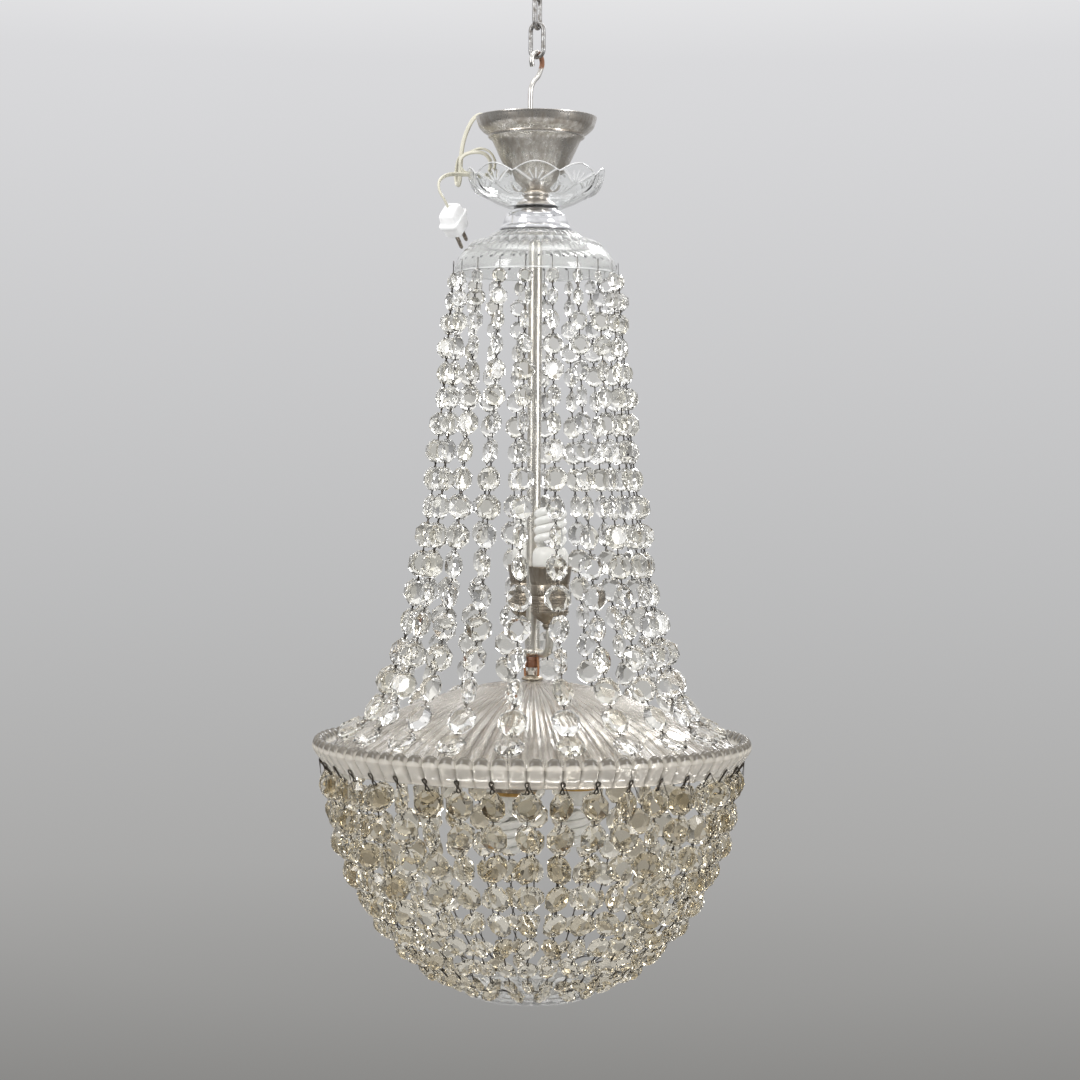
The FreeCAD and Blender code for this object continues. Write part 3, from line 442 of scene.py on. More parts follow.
# Each slot's maker and what it is given after the name, in its own order. A colour's name stands for the panel's.
FINISHES = {
    "chain_steel": (plated, (0.50, 0.50, 0.50), (0.20, 0.18, 0.16), 0.30, 0.55, 260.0, (1, 1, 1), 0.00012),
    "hook_zinc": (hook_zinc,),
    "nickel": (plated, "nickel", (0.66, 0.62, 0.55), 0.20, 0.38, 90.0, (1, 1, 0.25)),
    "tarnished_silver": (tarnished_silver,),
    "cut_glass": (clear_glass, (0.99, 0.995, 0.99), (0.975, 0.985, 0.98), 1.42, 0.0, 0.00005, 60.0),
    "gasket_rubber": (moulded, (0.05, 0.05, 0.05), (0.09, 0.085, 0.08), 0.6, 120.0, 0.00003),
    "bright_chrome": (plated, (0.84, 0.84, 0.86), (0.62, 0.62, 0.645), 0.08, 0.24, 45.0),
    "pressed_glass": (clear_glass, (0.975, 0.98, 0.965), (0.95, 0.955, 0.935), 1.45, 0.03, 0.00012, 50.0, 0.14),
    "holder_metal": (plated, (0.53, 0.475, 0.405), (0.25, 0.205, 0.155), 0.22, 0.42, 70.0, (1, 1, 0.4)),
    "brass_fitting": (plated, (0.80, 0.52, 0.18), (0.50, 0.30, 0.11), 0.24, 0.45, 120.0),
    "bulb_plastic": (moulded, (0.90, 0.89, 0.85), (0.83, 0.82, 0.77), 0.35, 40.0, 0.00002, 0.3),
    "bulb_glass": (moulded, (0.97, 0.965, 0.93), (0.92, 0.915, 0.88), 0.18, 60.0, 0.00001, 0.6),
    "brown_insulation": (moulded, (0.26, 0.11, 0.05), (0.15, 0.06, 0.03), 0.42, 160.0, 0.00006, 0.2),
    "wire_copper": (moulded, (0.42, 0.19, 0.07), (0.28, 0.12, 0.05), 0.35, 200.0, 0.00004, 0.3),
    "bronze_washer": (plated, (0.66, 0.60, 0.50), (0.40, 0.33, 0.24), 0.25, 0.45, 150.0),
    "ribbed_glass": (ribbed_glass,),
    # The pins' near-black colour is painted shade on nickel pins, mottled with wear.
    "pin_metal": (plated, (0.12, 0.10, 0.08), (0.03, 0.028, 0.025), 0.30, 0.5, 300.0),
    "clear_crystal": (crystal, "crystal", (0.95, 0.93, 0.86)),
    "warm_crystal": (crystal, "warm_crystal", (0.68, 0.61, 0.47)),
    "cord_plastic": (cord_plastic,),
    "plug_plastic": (moulded, (0.97, 0.97, 0.965), (0.93, 0.93, 0.925), 0.30, 90.0, 0.00004, 0.25),
    "plug_metal": (plated, (0.42, 0.38, 0.33), (0.22, 0.18, 0.15), 0.18, 0.36, 220.0),
}


def finish_of(slot):
    """The material of a slot, made when it is first asked for."""
    made = bpy.data.materials.get(f"{slot}_finish")
    if made:
        return made
    maker, *given = FINISHES[slot]
    return maker(slot, *[tint(part) if isinstance(part, str) else part for part in given])


# Shape building, in millimetres


def around(radius, bearing, height):
    """The point at a bearing, counted from the front."""
    angle = math.radians(bearing)
    return Vector((radius * math.sin(angle), -radius * math.cos(angle), height))


def rotation(degrees, axis="Z"):
    """A turn about an axis."""
    return Matrix.Rotation(math.radians(degrees), 4, axis)


def eased(points, steps=4):
    """A smooth line through the points."""
    line = [Vector(point) for point in points]
    line = [2 * line[0] - line[1]] + line + [2 * line[-1] - line[-2]]
    smooth = []
    for a, b, c, d in zip(line, line[1:], line[2:], line[3:]):
        bend = 2 * a - 5 * b + 4 * c - d
        twist = 3 * b - a - 3 * c + d
        for t in [i / steps for i in range(steps)]:
            smooth.append(0.5 * (2 * b + (c - a) * t + bend * t**2 + twist * t**3))
    return smooth + [line[-2]]


def walled(outline, wall):
    """An outline and, back along it, its other face, a wall's thickness to its left."""
    line = [Vector(point) for point in outline]
    ways = [(b - a).normalized() for a, b in zip(line, line[1:])]
    ways = [ways[0]] + [(a + b).normalized() for a, b in zip(ways, ways[1:])] + [ways[-1]]
    other = [point + wall * Vector((-way.y, way.x)) for point, way in zip(line, ways)]
    return line + other[::-1]


def turned(outline, steps=72, closed=True):
    """A turned shape from its outline of (radius, height) corners, spun in one wedge or more."""
    wedges = next(count for count in range(1, steps + 1) if steps % count == 0 and steps / count <= 32)
    shape = bmesh.new()
    corners = [shape.verts.new((point[0], 0, point[1])) for point in outline]
    edges = [shape.edges.new(pair) for pair in zip(corners, corners[1:] + corners[:1] if closed else corners[1:])]
    bmesh.ops.spin(
        shape,
        geom=corners + edges,
        cent=(0, 0, 0),
        axis=(0, 0, 1),
        angle=2 * math.pi / wedges,
        steps=steps // wedges,
        use_merge=wedges == 1,
    )
    if wedges > 1:
        shape = gathered(shape, [Matrix.Rotation(2 * math.pi * i / wedges, 4, "Z") for i in range(wedges)])
    bmesh.ops.remove_doubles(shape, verts=shape.verts, dist=0.005)
    bmesh.ops.recalc_face_normals(shape, faces=shape.faces)
    return shape


def raised(shape, level):
    """The shape moved up to a level."""
    bmesh.ops.translate(shape, verts=shape.verts, vec=(0, 0, level))
    return shape


def edges_of(verts):
    """The edges of a ring of corners."""
    return list({edge for vert in verts for edge in vert.link_edges})


def skinned(shape, rings, closed=False):
    """The shape with its rings of edges bridged in turn, and its ends filled, or joined if it is closed."""
    for first, second in zip(rings, rings[1:] + rings[:1] if closed else rings[1:]):
        bmesh.ops.bridge_loops(shape, edges=first + second)
    if not closed:
        bmesh.ops.holes_fill(shape, edges=rings[0] + rings[-1], sides=0)
    bmesh.ops.recalc_face_normals(shape, faces=shape.faces)
    return shape


def swept(path, section, facing, closed=False):
    """A tube whose section, a list of (across, aside) offsets, goes along a path without twist."""
    shape = bmesh.new()
    count = len(path)
    aside = Vector(facing)
    rings = []
    for i, point in enumerate(path):
        before = path[i - 1] if closed or i else point
        after = path[(i + 1) % count] if closed or i + 1 < count else point
        way = (after - before).normalized()
        aside = (aside - way * aside.dot(way)).normalized()
        across = aside.cross(way)
        made = bmesh.ops.create_circle(shape, cap_ends=False, segments=len(section), radius=1)
        for vert, (a, b) in zip(made["verts"], section):
            vert.co = point + across * a + aside * b
        rings.append(edges_of(made["verts"]))
    return skinned(shape, rings, closed)


def oval(width, thickness, sides, waist=0.0):
    """An oval section, drawn in at its middle by a share of its thickness."""
    angles = [2 * math.pi * i / sides for i in range(sides)]
    drawn = [1 - waist * math.exp(-((math.cos(a) / 0.28) ** 2)) for a in angles]
    return [(width / 2 * math.cos(a), thickness / 2 * math.sin(a) * d) for a, d in zip(angles, drawn)]


def mesh_of(name, shape, smooth=False):
    """The shape as a mesh, which uses it up."""
    mesh = bpy.data.meshes.new(name)
    shape.to_mesh(mesh)
    shape.free()
    mesh.polygons.foreach_set("use_smooth", [smooth] * len(mesh.polygons))
    return mesh


def linked(name, data):
    """A new object in the scene."""
    item = bpy.data.objects.new(name, data)
    bpy.context.scene.collection.objects.link(item)
    return item


def gathered(shape, places):
    """Copies of a shape at each place, as one shape."""
    base = mesh_of("base", shape)
    whole = bmesh.new()
    for place in places:
        copy = base.copy()
        copy.transform(place)
        whole.from_mesh(copy)
        bpy.data.meshes.remove(copy)
    bpy.data.meshes.remove(base)
    return whole


def settled(item, body, nodes, slot):
    """The piece with its finish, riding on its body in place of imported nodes."""
    item.data.materials.append(finish_of(slot))
    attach(item, body)
    if nodes:
        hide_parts(*nodes)
    return item


def piece(name, shape, nodes, slot, body="chandelier", bevel=0.0, flat=False, sharp=40):
    """A finished piece from a shape; a bevel rounds its sharp edges."""
    bmesh.ops.scale(shape, verts=shape.verts, vec=(MM, MM, MM))
    mesh = mesh_of(name, shape, smooth=not flat)
    item = linked(name, mesh)
    if bevel:
        rounding = item.modifiers.new("rounding", "BEVEL")
        rounding.width = bevel * MM
        rounding.segments = 2
        rounding.limit_method = "ANGLE"
        rounding.angle_limit = math.radians(30)
        rounding.harden_normals = True
    elif not flat:
        mesh.set_sharp_from_angle(angle=math.radians(sharp))
    return settled(item, body, nodes, slot)


def strung(curve, points, smooth, cyclic=False):
    """Adds a line to the curve, straight between its points or smooth with them as control points."""
    spline = curve.splines.new("NURBS" if smooth else "POLY")
    spline.points.add(len(points) - 1)
    for knot, point in zip(spline.points, points):
        knot.co = (*point, 1.0)
    spline.use_cyclic_u = cyclic
    if smooth:
        spline.order_u = 3
        spline.use_endpoint_u = not cyclic
    spline.use_smooth = True


def wires(name, paths, thickness, nodes, slot, body="chandelier", cyclic=False, smooth=False):
    """Round wires along paths."""
    curve = bpy.data.curves.new(name, "CURVE")
    curve.dimensions = "3D"
    curve.bevel_depth = thickness / 2 * MM
    curve.bevel_resolution = 5
    curve.resolution_u = 8
    curve.render_resolution_u = 8
    curve.use_fill_caps = not cyclic
    for path in paths:
        strung(curve, [Vector(point) * MM for point in path], smooth, cyclic)
    return settled(linked(name, curve), body, nodes, slot)


def bow(centre, radius, first, last, steps):
    """Points on an arc in the XZ plane, its angles counted from +X towards +Z."""
    angles = [math.radians(first + (last - first) * i / steps) for i in range(steps + 1)]
    return [Vector((radius * math.cos(a), 0, centre + radius * math.sin(a))) for a in angles]


def set_in(points, level, bearing):
    """Points turned about Z and moved up to a level."""
    place = Matrix.Translation((0, 0, level)) @ rotation(bearing)
    return [place @ Vector(point) for point in points]


# Stage, in metres, degrees and watts

AIM = Vector((0, 0, -0.55))
CAMERA_PLACE = (0.0065, -2.426, -0.5195)
CAMERA_LENS = 80.87
CAMERA_DIP = 1.18
CAMERA_ROLL = 0.41
FLOOR_LEVEL = -1.75
FLOOR_RADIUS = 2.3
WALL_FOOT = -2.3
WALL_RISE = 4.4
WALL_WIDTH = 9.4


def light(name, place, wide, high, watts):
    """A soft rectangular lamp that faces the chandelier."""
    lamp = bpy.data.lights.new(name, "AREA")
    lamp.shape = "RECTANGLE"
    lamp.size = wide
    lamp.size_y = high
    lamp.energy = watts
    item = linked(name, lamp)
    item.location = place
    item.rotation_euler = (AIM - Vector(place)).to_track_quat("-Z", "Y").to_euler()
    item.visible_camera = False


def staged(name, shape, material, smooth=False):
    """A piece of the stage, which isn't part of the chandelier."""
    mesh = mesh_of(name, shape, smooth)
    mesh.materials.append(material)
    item = linked(name, mesh)
    return item


class ChandelierStage(bpy.types.Operator):
    """Set up the camera, the lamps, the floor and the backdrop"""

    bl_idname = "chandelier.stage"
    bl_label = "Stage"

    def execute(self, context):
        scene = context.scene
        scene.view_settings.view_transform = "Standard"
        scene.cycles.max_bounces = 28
        scene.cycles.transmission_bounces = 28
        scene.cycles.glossy_bounces = 8
        scene.cycles.diffuse_bounces = 4

        lens = bpy.data.cameras.new("camera")
        lens.lens = CAMERA_LENS
        lens.sensor_width = 36.0
        lens.clip_end = 60.0
        scene.camera = linked("camera", lens)
        pitch = rotation(90 - CAMERA_DIP, "X")
        roll = rotation(CAMERA_ROLL)
        scene.camera.matrix_world = Matrix.Translation(CAMERA_PLACE) @ pitch @ roll

        scene.world = bpy.data.worlds.new("world")
        scene.world.use_nodes = True
        scene.world.node_tree.nodes["Background"].inputs["Color"].default_value = (0.80, 0.80, 0.81, 1.0)
        light("window_left", (-2.3, -2.0, 0.7), 1.0, 2.0, 48.0)
        light("window_right", (2.4, -1.5, 0.3), 0.8, 1.8, 34.0)
        light("overhead", (0.1, 0.1, 2.2), 2.0, 2.0, 42.0)
        light("behind", (1.3, 2.6, 1.5), 0.9, 0.9, 30.0)

        self.floor()
        self.backdrop()
        return {"FINISHED"}

    def floor(self):
        """A pale round floor, below the picture."""
        shape = bmesh.new()
        bmesh.ops.create_circle(shape, cap_ends=True, segments=96, radius=FLOOR_RADIUS)
        finish = Finish("floor")
        tone = finish.mix(finish.noise(1.5, 2.0), (0.42, 0.417, 0.41), (0.39, 0.387, 0.38))
        staged("floor", raised(shape, FLOOR_LEVEL), finish.surface(Base_Color=tone, Roughness=0.7))

    def backdrop(self):
        """A round wall whose tone falls towards its foot; lamps and floor light pass it by."""
        outline = [(0, WALL_FOOT), (3.2, WALL_FOOT), (4.0, -2.2), (4.5, -1.8), (4.7, -1.2), (4.7, 3.4)]
        shape = turned(outline, 96, closed=False)
        bmesh.ops.reverse_faces(shape, faces=shape.faces)
        finish = Finish("backdrop")
        y, z = finish.axes()[1:]
        height = ((z - WALL_FOOT) / WALL_RISE).clipped()
        low, middle = (0.40, 0.397, 0.392), (0.505, 0.506, 0.510)
        stops = [(0.0, (0.24, 0.235, 0.225)), (0.04, tint("wall_foot")), (0.16, low), (0.34, middle)]
        plain = finish.ramp(height, stops + [(0.69, tint("wall_top")), (0.86, 1.0)])
        across = (y / WALL_WIDTH + 0.5).clipped()
        aside = finish.ramp(across, [(0.0, 0.50), (0.35, 0.48), (0.75, 0.60), (0.955, 1.0)])
        lit = finish.ramp(height, [(0.66, 0.0), (0.9, 1.0)])
        shade = finish.mix(1.0, plain, finish.mix(lit, aside, (1.0, 1.0, 1.0)), "MULTIPLY")
        outputs = finish.node("ShaderNodeLightPath").outputs
        straight, glossy, through = [
            Signal(finish, outputs[f"Is {kind} Ray"]) for kind in ("Camera", "Glossy", "Transmission")
        ]
        glow = finish.signal("ShaderNodeEmission", inputs={"Color": shade})
        matt = finish.signal("ShaderNodeBsdfDiffuse", inputs={"Color": (0.6, 0.6, 0.6)})
        mixed = finish.blend((straight + glossy + through).clipped(), matt, glow)
        item = staged("backdrop", shape, finish.finished(mixed), smooth=True)
        item.visible_diffuse = False
        item.visible_shadow = False


# Supply cord

# The route is laid out in millimetres, from the canopy's floor over its rim to the plug.
CORD_ROUTE = [
    (-8.4, 7.4, -217.95), (-9.2, 8.1, -208.0), (-18.0, 14.0, -193.0), (-29.5, 19.5, -174.0),
    (-41.0, 24.0, -153.0), (-52.0, 27.0, -141.0), (-62.5, 28.0, -143.0), (-70.5, 27.0, -158.0),
    (-75.0, 24.5, -175.0), (-76.0, 22.5, -191.0), (-76.5, 22.0, -206.1), (-78.0, 28.4, -212.5),
    (-80.0, 37.6, -212.5), (-81.5, 44.0, -206.1), (-81.0, 44.0, -193.0), (-78.0, 39.0, -181.5),
    (-67.0, 29.0, -179.5), (-56.0, 22.0, -175.5), (-45.5, 19.5, -180.0), (-40.5, 18.5, -190.0),
    (-41.5, 17.5, -199.5), (-46.5, 16.8, -206.5), (-54.5, 16.2, -207.0), (-62.0, 15.6, -202.5),
    (-71.0, 14.8, -202.5), (-76.3, 13.8, -196.5), (-76.3, 12.6, -188.5), (-71.0, 11.2, -183.5),
    (-62.0, 10.0, -181.5), (-52.0, 9.0, -182.5), (-45.5, 8.6, -189.5), (-45.0, 8.6, -199.0),
    (-49.5, 8.6, -205.5), (-57.5, 8.8, -207.0), (-63.0, 8.8, -204.5), (-73.0, 8.0, -204.5),
    (-83.0, 3.5, -204.5), (-90.5, -4.0, -207.0), (-96.8, -12.5, -213.5), (-96.0, -18.0, -224.5),
    (-90.1, -17.5, -232.9), (-87.1, -11.5, -240.0),
]
PLUG_WAY = Vector((0.33, 0.62, -0.71)).normalized()


class ChandelierSupplyCord(bpy.types.Operator):
    """Lay the flat twin flex over the canopy's rim and hang its plug"""

    bl_idname = "chandelier.supply_cord"
    bl_label = "Supply cord"

    def execute(self, context):
        line = self.centre_line()
        wide = size("cord_width")
        section = oval(wide, size("cord_thickness"), 18, 0.32)
        cord = piece(
            "supply_cord",
            swept(line, section, (0, 1, 0.2)),
            ["cord_lead", "cord_loops", "cord_tail"],
            "cord_plastic",
            "canopy",
            sharp=70,
        )
        plug, contacts = self.plug()
        wide * MM
        return {"FINISHED"}

    def centre_line(self):
        """The points that the route's smooth spline gives."""
        curve = bpy.data.curves.new("cord_line", "CURVE")
        curve.dimensions = "3D"
        curve.resolution_u = 7
        strung(curve, CORD_ROUTE, smooth=True)
        guide = bpy.data.objects.new("cord_line", curve)
        mesh = bpy.data.meshes.new_from_object(guide)
        line = [vert.co.copy() for vert in mesh.vertices]
        bpy.data.objects.remove(guide)
        bpy.data.meshes.remove(mesh)
        return line

    def plug(self):
        """The plug's flanged housing and its two contact pins."""
        side = Vector((1, -0.6, 0)).cross(PLUG_WAY).normalized()
        place = Matrix((side, PLUG_WAY.cross(side), PLUG_WAY)).transposed().to_4x4()
        place.translation = Vector(CORD_ROUTE[-1])
        outline = [
            (7.0, 5.5, -1.5), (8.5, 7.0, 0.0), (19.0, 14.0, 1.8), (22.6, 17.0, 4.0), (25.4, 18.6, 12.4),
            (30.6, 21.0, 12.8), (31.4, 21.5, 13.6), (31.4, 21.5, 15.4), (30.6, 21.0, 16.2),
            (26.4, 19.2, 16.6), (25.0, 18.4, 27.2), (24.0, 17.4, 28.0), (12.0, 8.0, 28.2),
        ]
        squareness = 6
        shape = bmesh.new()
        rings = []
        for wide, deep, level in outline:
            verts = bmesh.ops.create_circle(shape, cap_ends=False, segments=48, radius=1)["verts"]
            for vert in verts:
                full = 1 / (abs(vert.co.x) ** squareness + abs(vert.co.y) ** squareness) ** (1 / squareness)
                vert.co = (vert.co.x * full * wide / 2, vert.co.y * full * deep / 2, level)
            rings.append(edges_of(verts))
        skinned(shape, rings)
        bmesh.ops.transform(shape, matrix=place, verts=shape.verts)
        housing = piece("plug_housing", shape, ["plug_body"], "plug_plastic", "canopy", bevel=0.3)
        contact = turned([(0, 0), (2, 0), (2, 16.4), (1.6, 18), (0.8, 19), (0, 19.2)], 20, closed=False)
        places = [place @ Matrix.Translation((offset, 0, 28.0)) for offset in (-6.0, 6.0)]
        contacts = piece("plug_contacts", gathered(contact, places), ["plug_pins"], "plug_metal", "canopy")
        return housing, contacts


# Chain, hook and eye

LINK_WIDTH = 18.0
LINK_BEARING = -22.0
LINKS = [("link_top", "chain_anchor"), ("link_middle", "chain_middle"), ("link_lower", "chain_lower")]
HOOK_UPPER = 9.3
HOOK_LOWER = 11.0
HOOK_RUN = 71.9
EYE_RADIUS = 9.0


class ChandelierChain(bpy.types.Operator):
    """Hang the chain links, the hook and the chandelier's eye"""

    bl_idname = "chandelier.chain"
    bl_label = "Chain and hook"

    def execute(self, context):
        wire = size("chain_wire")
        radius = (LINK_WIDTH - wire) / 2
        for turn, (node, body) in enumerate(LINKS):
            low, high = levels(node)
            run = high - low - wire
            path = bow(-radius, radius, 0, 180, 14) + bow(radius - run, radius, 180, 360, 14)
            path = set_in(path, high - wire / 2, LINK_BEARING + 90 * turn)
            wires(f"chain_{node}", [path], wire, [node], "chain_steel", body, cyclic=True)
        self.hook()
        self.eye()
        return {"FINISHED"}

    def hook(self):
        """The S-shaped hook, its cut ends rounded over."""
        wire = size("hook_wire")
        high = levels("suspension_hook")[1] - wire / 2
        upper = bow(-HOOK_UPPER, HOOK_UPPER, 214, -36, 12)
        shank = [Vector((x, 0, z)) for x, z in ((2.6, -23.0), (-5.4, -29.5), (-10.2, -37.5), (-11, -48.0))]
        lower = bow(HOOK_LOWER - HOOK_RUN, HOOK_LOWER, 180, 380, 12)
        path = set_in(eased(upper + shank + lower, 3), high, 56.0)
        wires("hanging_hook", [path], wire, ["suspension_hook"], "hook_zinc", "hook")

    def eye(self):
        """The ring on its tapped boss."""
        wire = size("hook_wire")
        shape = turned([(EYE_RADIUS + x, z) for x, z in oval(wire, wire, 16)], 48)
        stand = Matrix.Translation((0, 0, -EYE_RADIUS - wire / 2)) @ rotation(146)
        bmesh.ops.transform(shape, matrix=stand @ rotation(90, "X"), verts=shape.verts)
        top = -2 * EYE_RADIUS - 1
        outline = [(0, 1), (6, 0), (8, -1.6), (8, -4), (7.2, -5), (8, -6), (8, -12), (BORE, -12), (BORE, -4), (0, -4)]
        extra = mesh_of("boss", raised(turned(outline, 40, closed=False), top))
        shape.from_mesh(extra)
        bpy.data.meshes.remove(extra)
        high = levels("hanging_eye")[1]
        piece("eye_ring", raised(shape, high), ["hanging_eye"], "nickel", bevel=0.3)


# Canopy, knob, gasket and collar


def fitting(name, node, outline, slot, steps=64, body="chandelier", **edges):
    """A turned piece on the axis in place of its node."""
    shape = raised(turned(outline, steps), levels(node)[0])
    return piece(name, shape, [node], slot, body, **edges)


class ChandelierCanopy(bpy.types.Operator):
    """Spin the canopy, its knob, the gasket and the stepped collar"""

    bl_idname = "chandelier.canopy"
    bl_label = "Canopy and collar"

    def execute(self, context):
        outline = eased([(12, 0), (15.8, 2.6), (23, 10.3), (31.5, 25), (35.7, 33), (40, 42), (43.6, 50)], 4)
        outline += [(45.4, 52.2), (47.4, 53.2), (48.3, 54.2), (48.4, 55.0), (47.8, 55.5), (47.5, 55.9)]
        outline += eased([(48.6, 56.6), (53.6, 60), (57.2, 64), (58.8, 68), (59.8, 71.5), (60.3, 73.2)], 4)
        faces = walled(outline, size("canopy_wall"))
        faces[len(outline):len(outline)] = [(60.3, 73.8), (59.9, 74.0)]
        fitting("canopy_bell", "canopy", faces, "tarnished_silver", 128, "canopy", sharp=50)

        outline = [(BORE, 0), (19.6, 0), (20, 1.0), (19.4, 2.4)]
        outline += eased([(18.2, 3.3), (14.4, 5.0), (12.4, 7.3), (12.3, 9.0), (14.0, 10.6), (13.6, 12.2)], 3)
        fitting("bell_knob", "canopy_knob", outline + [(11.6, 13.2), (BORE, 13.2)], "tarnished_silver")

        outline = [(BORE, 0), (21.6, 0), (22, 0.4), (22, 1.0), (21.6, 1.4), (BORE, 1.4)]
        fitting("rubber_gasket", "gasket", outline, "gasket_rubber")

        outline = [(35.6, 0), (36.2, 0.8), (36.1, 2.0), (35.6, 3.1), (34.8, 4.0), (33.6, 4.7), (33.0, 6.0)]
        outline += eased([(33.0, 6.0), (32.4, 9.0), (31.0, 13.0), (29.2, 16.2), (26.6, 18.6), (23.6, 20.2)], 4)
        outline += [(23.0, 20.8), (BORE, 20.8), (BORE, 19.4), (22.6, 19.4), (28.2, 15.4), (31.4, 6.0)]
        outline += [(31.6, 4.6), (34.4, 3.6), (34.6, 0)]
        fitting("bright_collar", "stepped_collar", outline, "bright_chrome", 96, sharp=30)
        return {"FINISHED"}


# Glass bobeche and dome


def smooth_share(value, start, end):
    """0 before start, 1 after end and an even ease between them."""
    share = min(1.0, max(0.0, (value - start) / (end - start)))
    return share * share * (3 - 2 * share)


def radius_of(point):
    """A point's distance from the axis."""
    return math.hypot(point.x, point.y)


def bearing_of(point):
    """A point's bearing in degrees, counted from the front."""
    return math.degrees(math.atan2(point.x, -point.y))


def outer_verts(shape):
    """Each corner that faces away from the axis, with its radius, bearing and outward way."""
    shape.normal_update()
    found = []
    for vert in shape.verts:
        radius = radius_of(vert.co)
        if radius > 1 and (vert.normal.x * vert.co.x + vert.normal.y * vert.co.y) / radius > 0.12:
            found.append((vert, radius, bearing_of(vert.co), vert.normal.copy()))
    return found


# A fan in each scallop: its middle lies above the dish's foot. In degrees, there is a cut at each pitch from upright,
# the cuts beyond a side angle go on to the rim, and none lies beyond the end.
BOBECHE_WALL = 1.9
FAN_LEVEL = 18.0
FAN_PITCH = 27
FAN_SIDE = 40
FAN_END = 66


class ChandelierBobeche(bpy.types.Operator):
    """Cut the scalloped glass dish with a fan in every scallop"""

    bl_idname = "chandelier.bobeche"
    bl_label = "Glass bobeche"

    def execute(self, context):
        low = levels("glass_bobeche")[0]
        wide = size("bobeche_radius")
        lobes = number("bobeche_lobes")
        drop = size("scallop_depth")
        pitch = 360 / lobes
        side = eased([(28, 0.2), (40, 4.75), (53, 12.3), (61, 21.4), (65.6, 30), (wide, 38.5 - BOBECHE_WALL / 3)], 7)
        outline = walled([(BORE, 0), (14, 0), (24, 0)] + side, BOBECHE_WALL)
        half = len(outline) // 2
        outline[half:half] = [outline[half - 1] + Vector((-0.5, 0.8)), outline[half] + Vector((0.5, 0.8))]
        shape = turned(outline, 54 * lobes)
        ground = shape.verts.layers.float.new("ground")

        def sunk(radius, bearing):
            """How far the scallops lower the glass."""
            dip = 1 - abs(math.cos(math.radians(bearing) * lobes / 2))
            return drop * dip * smooth_share(radius, 0.72 * wide, wide)

        for vert, radius, bearing, outward in outer_verts(shape):
            aside = math.radians((bearing + pitch / 2) % pitch - pitch / 2) * radius
            above = (vert.co.z - sunk(radius, bearing) - FAN_LEVEL) * 1.12
            reach = math.hypot(aside, above)
            if 2.0 < reach and above > 0:
                angle = math.degrees(math.atan2(aside, above))
                off_cut = abs(angle / FAN_PITCH - round(angle / FAN_PITCH)) * math.radians(FAN_PITCH) * reach
                to_rim = abs(angle) > FAN_SIDE
                half_width, depth = (1.05, 0.6) if to_rim else (0.8, 0.35)
                long = smooth_share(reach, 3, 6) * (1 if to_rim else 1 - smooth_share(reach, 14, 17))
                cut = min(1.0, max(0.0, 1.5 - off_cut / half_width)) * long * (abs(angle) < FAN_END)
                vert.co -= outward * depth * cut
                vert[ground] = 0.95 * cut
        rim = max(vert.co.z for vert in shape.verts) - 1.1
        for vert in shape.verts:
            if vert.co.z > rim:
                vert[ground] = 0.8
            vert.co.z -= sunk(radius_of(vert.co), bearing_of(vert.co))
        piece("scalloped_bobeche", raised(shape, low), ["glass_bobeche"], "cut_glass", sharp=30)
        return {"FINISHED"}


# The dome's toothed band, its ridge and its bead band: radii and widths.
TEETH_START, TEETH_RUN = 57.0, 11.0
RIDGE_RADIUS, RIDGE_WIDTH = 53.5, 1.8
BAND_RADIUS, BAND_WIDTH = 43.5, 5.5


class ChandelierDome(bpy.types.Operator):
    """Press the glass dome with its bead band and its diamond band; its finish paints shade as dark spots at the
    holes round its edge
    """

    bl_idname = "chandelier.dome"
    bl_label = "Glass dome"

    def execute(self, context):
        low = levels("top_dome")[0]
        wide = size("dome_radius")
        side = eased(
            [(36, 43.0), (43, 39.4), (50, 34.8), (62.5, 29.6), (72, 22.4), (77.5, 15), (80.6, 7), (wide, 1.2)], 6
        )
        outline = walled([(BORE, 43.2), (20, 43.2), (33, 43.2)] + side, -3.2)
        half = len(outline) // 2
        outline[half:half + 1] = [(wide + 0.1, 0.3), (wide - 0.7, 0), (wide - 2.6, 0)]
        shape = turned(outline, 12 * DOME_HOLES)
        ground = shape.verts.layers.float.new("ground")
        for vert, radius, bearing, outward in outer_verts(shape):
            cell = ((bearing / (360 / DOME_HOLES)) % 1.0 - 0.5) * 2
            across = (radius - TEETH_START) / TEETH_RUN
            if 0 <= across <= 1:
                tooth = smooth_share((1 - across) - abs(cell), 0.0, 0.32) * smooth_share(across, 0.0, 0.12)
                vert.co += outward * 2.2 * tooth
                vert[ground] = 0.62 * tooth
            band = 1 - abs(radius - BAND_RADIUS) / BAND_WIDTH
            if band > 0:
                vert.co += outward * 0.9 * math.sqrt(band) * (1 - cell * cell)
            ridge = 1 - abs(radius - RIDGE_RADIUS) / RIDGE_WIDTH
            if ridge > 0:
                vert.co += outward * 0.8 * ridge
                vert[ground] = 0.15
            if radius > wide - 0.8 and vert.co.z < 1.6:
                vert[ground] = 0.5
        piece("pressed_dome", raised(shape, low), ["top_dome"], "pressed_glass", sharp=60)
        return {"FINISHED"}


# Stem and lamps


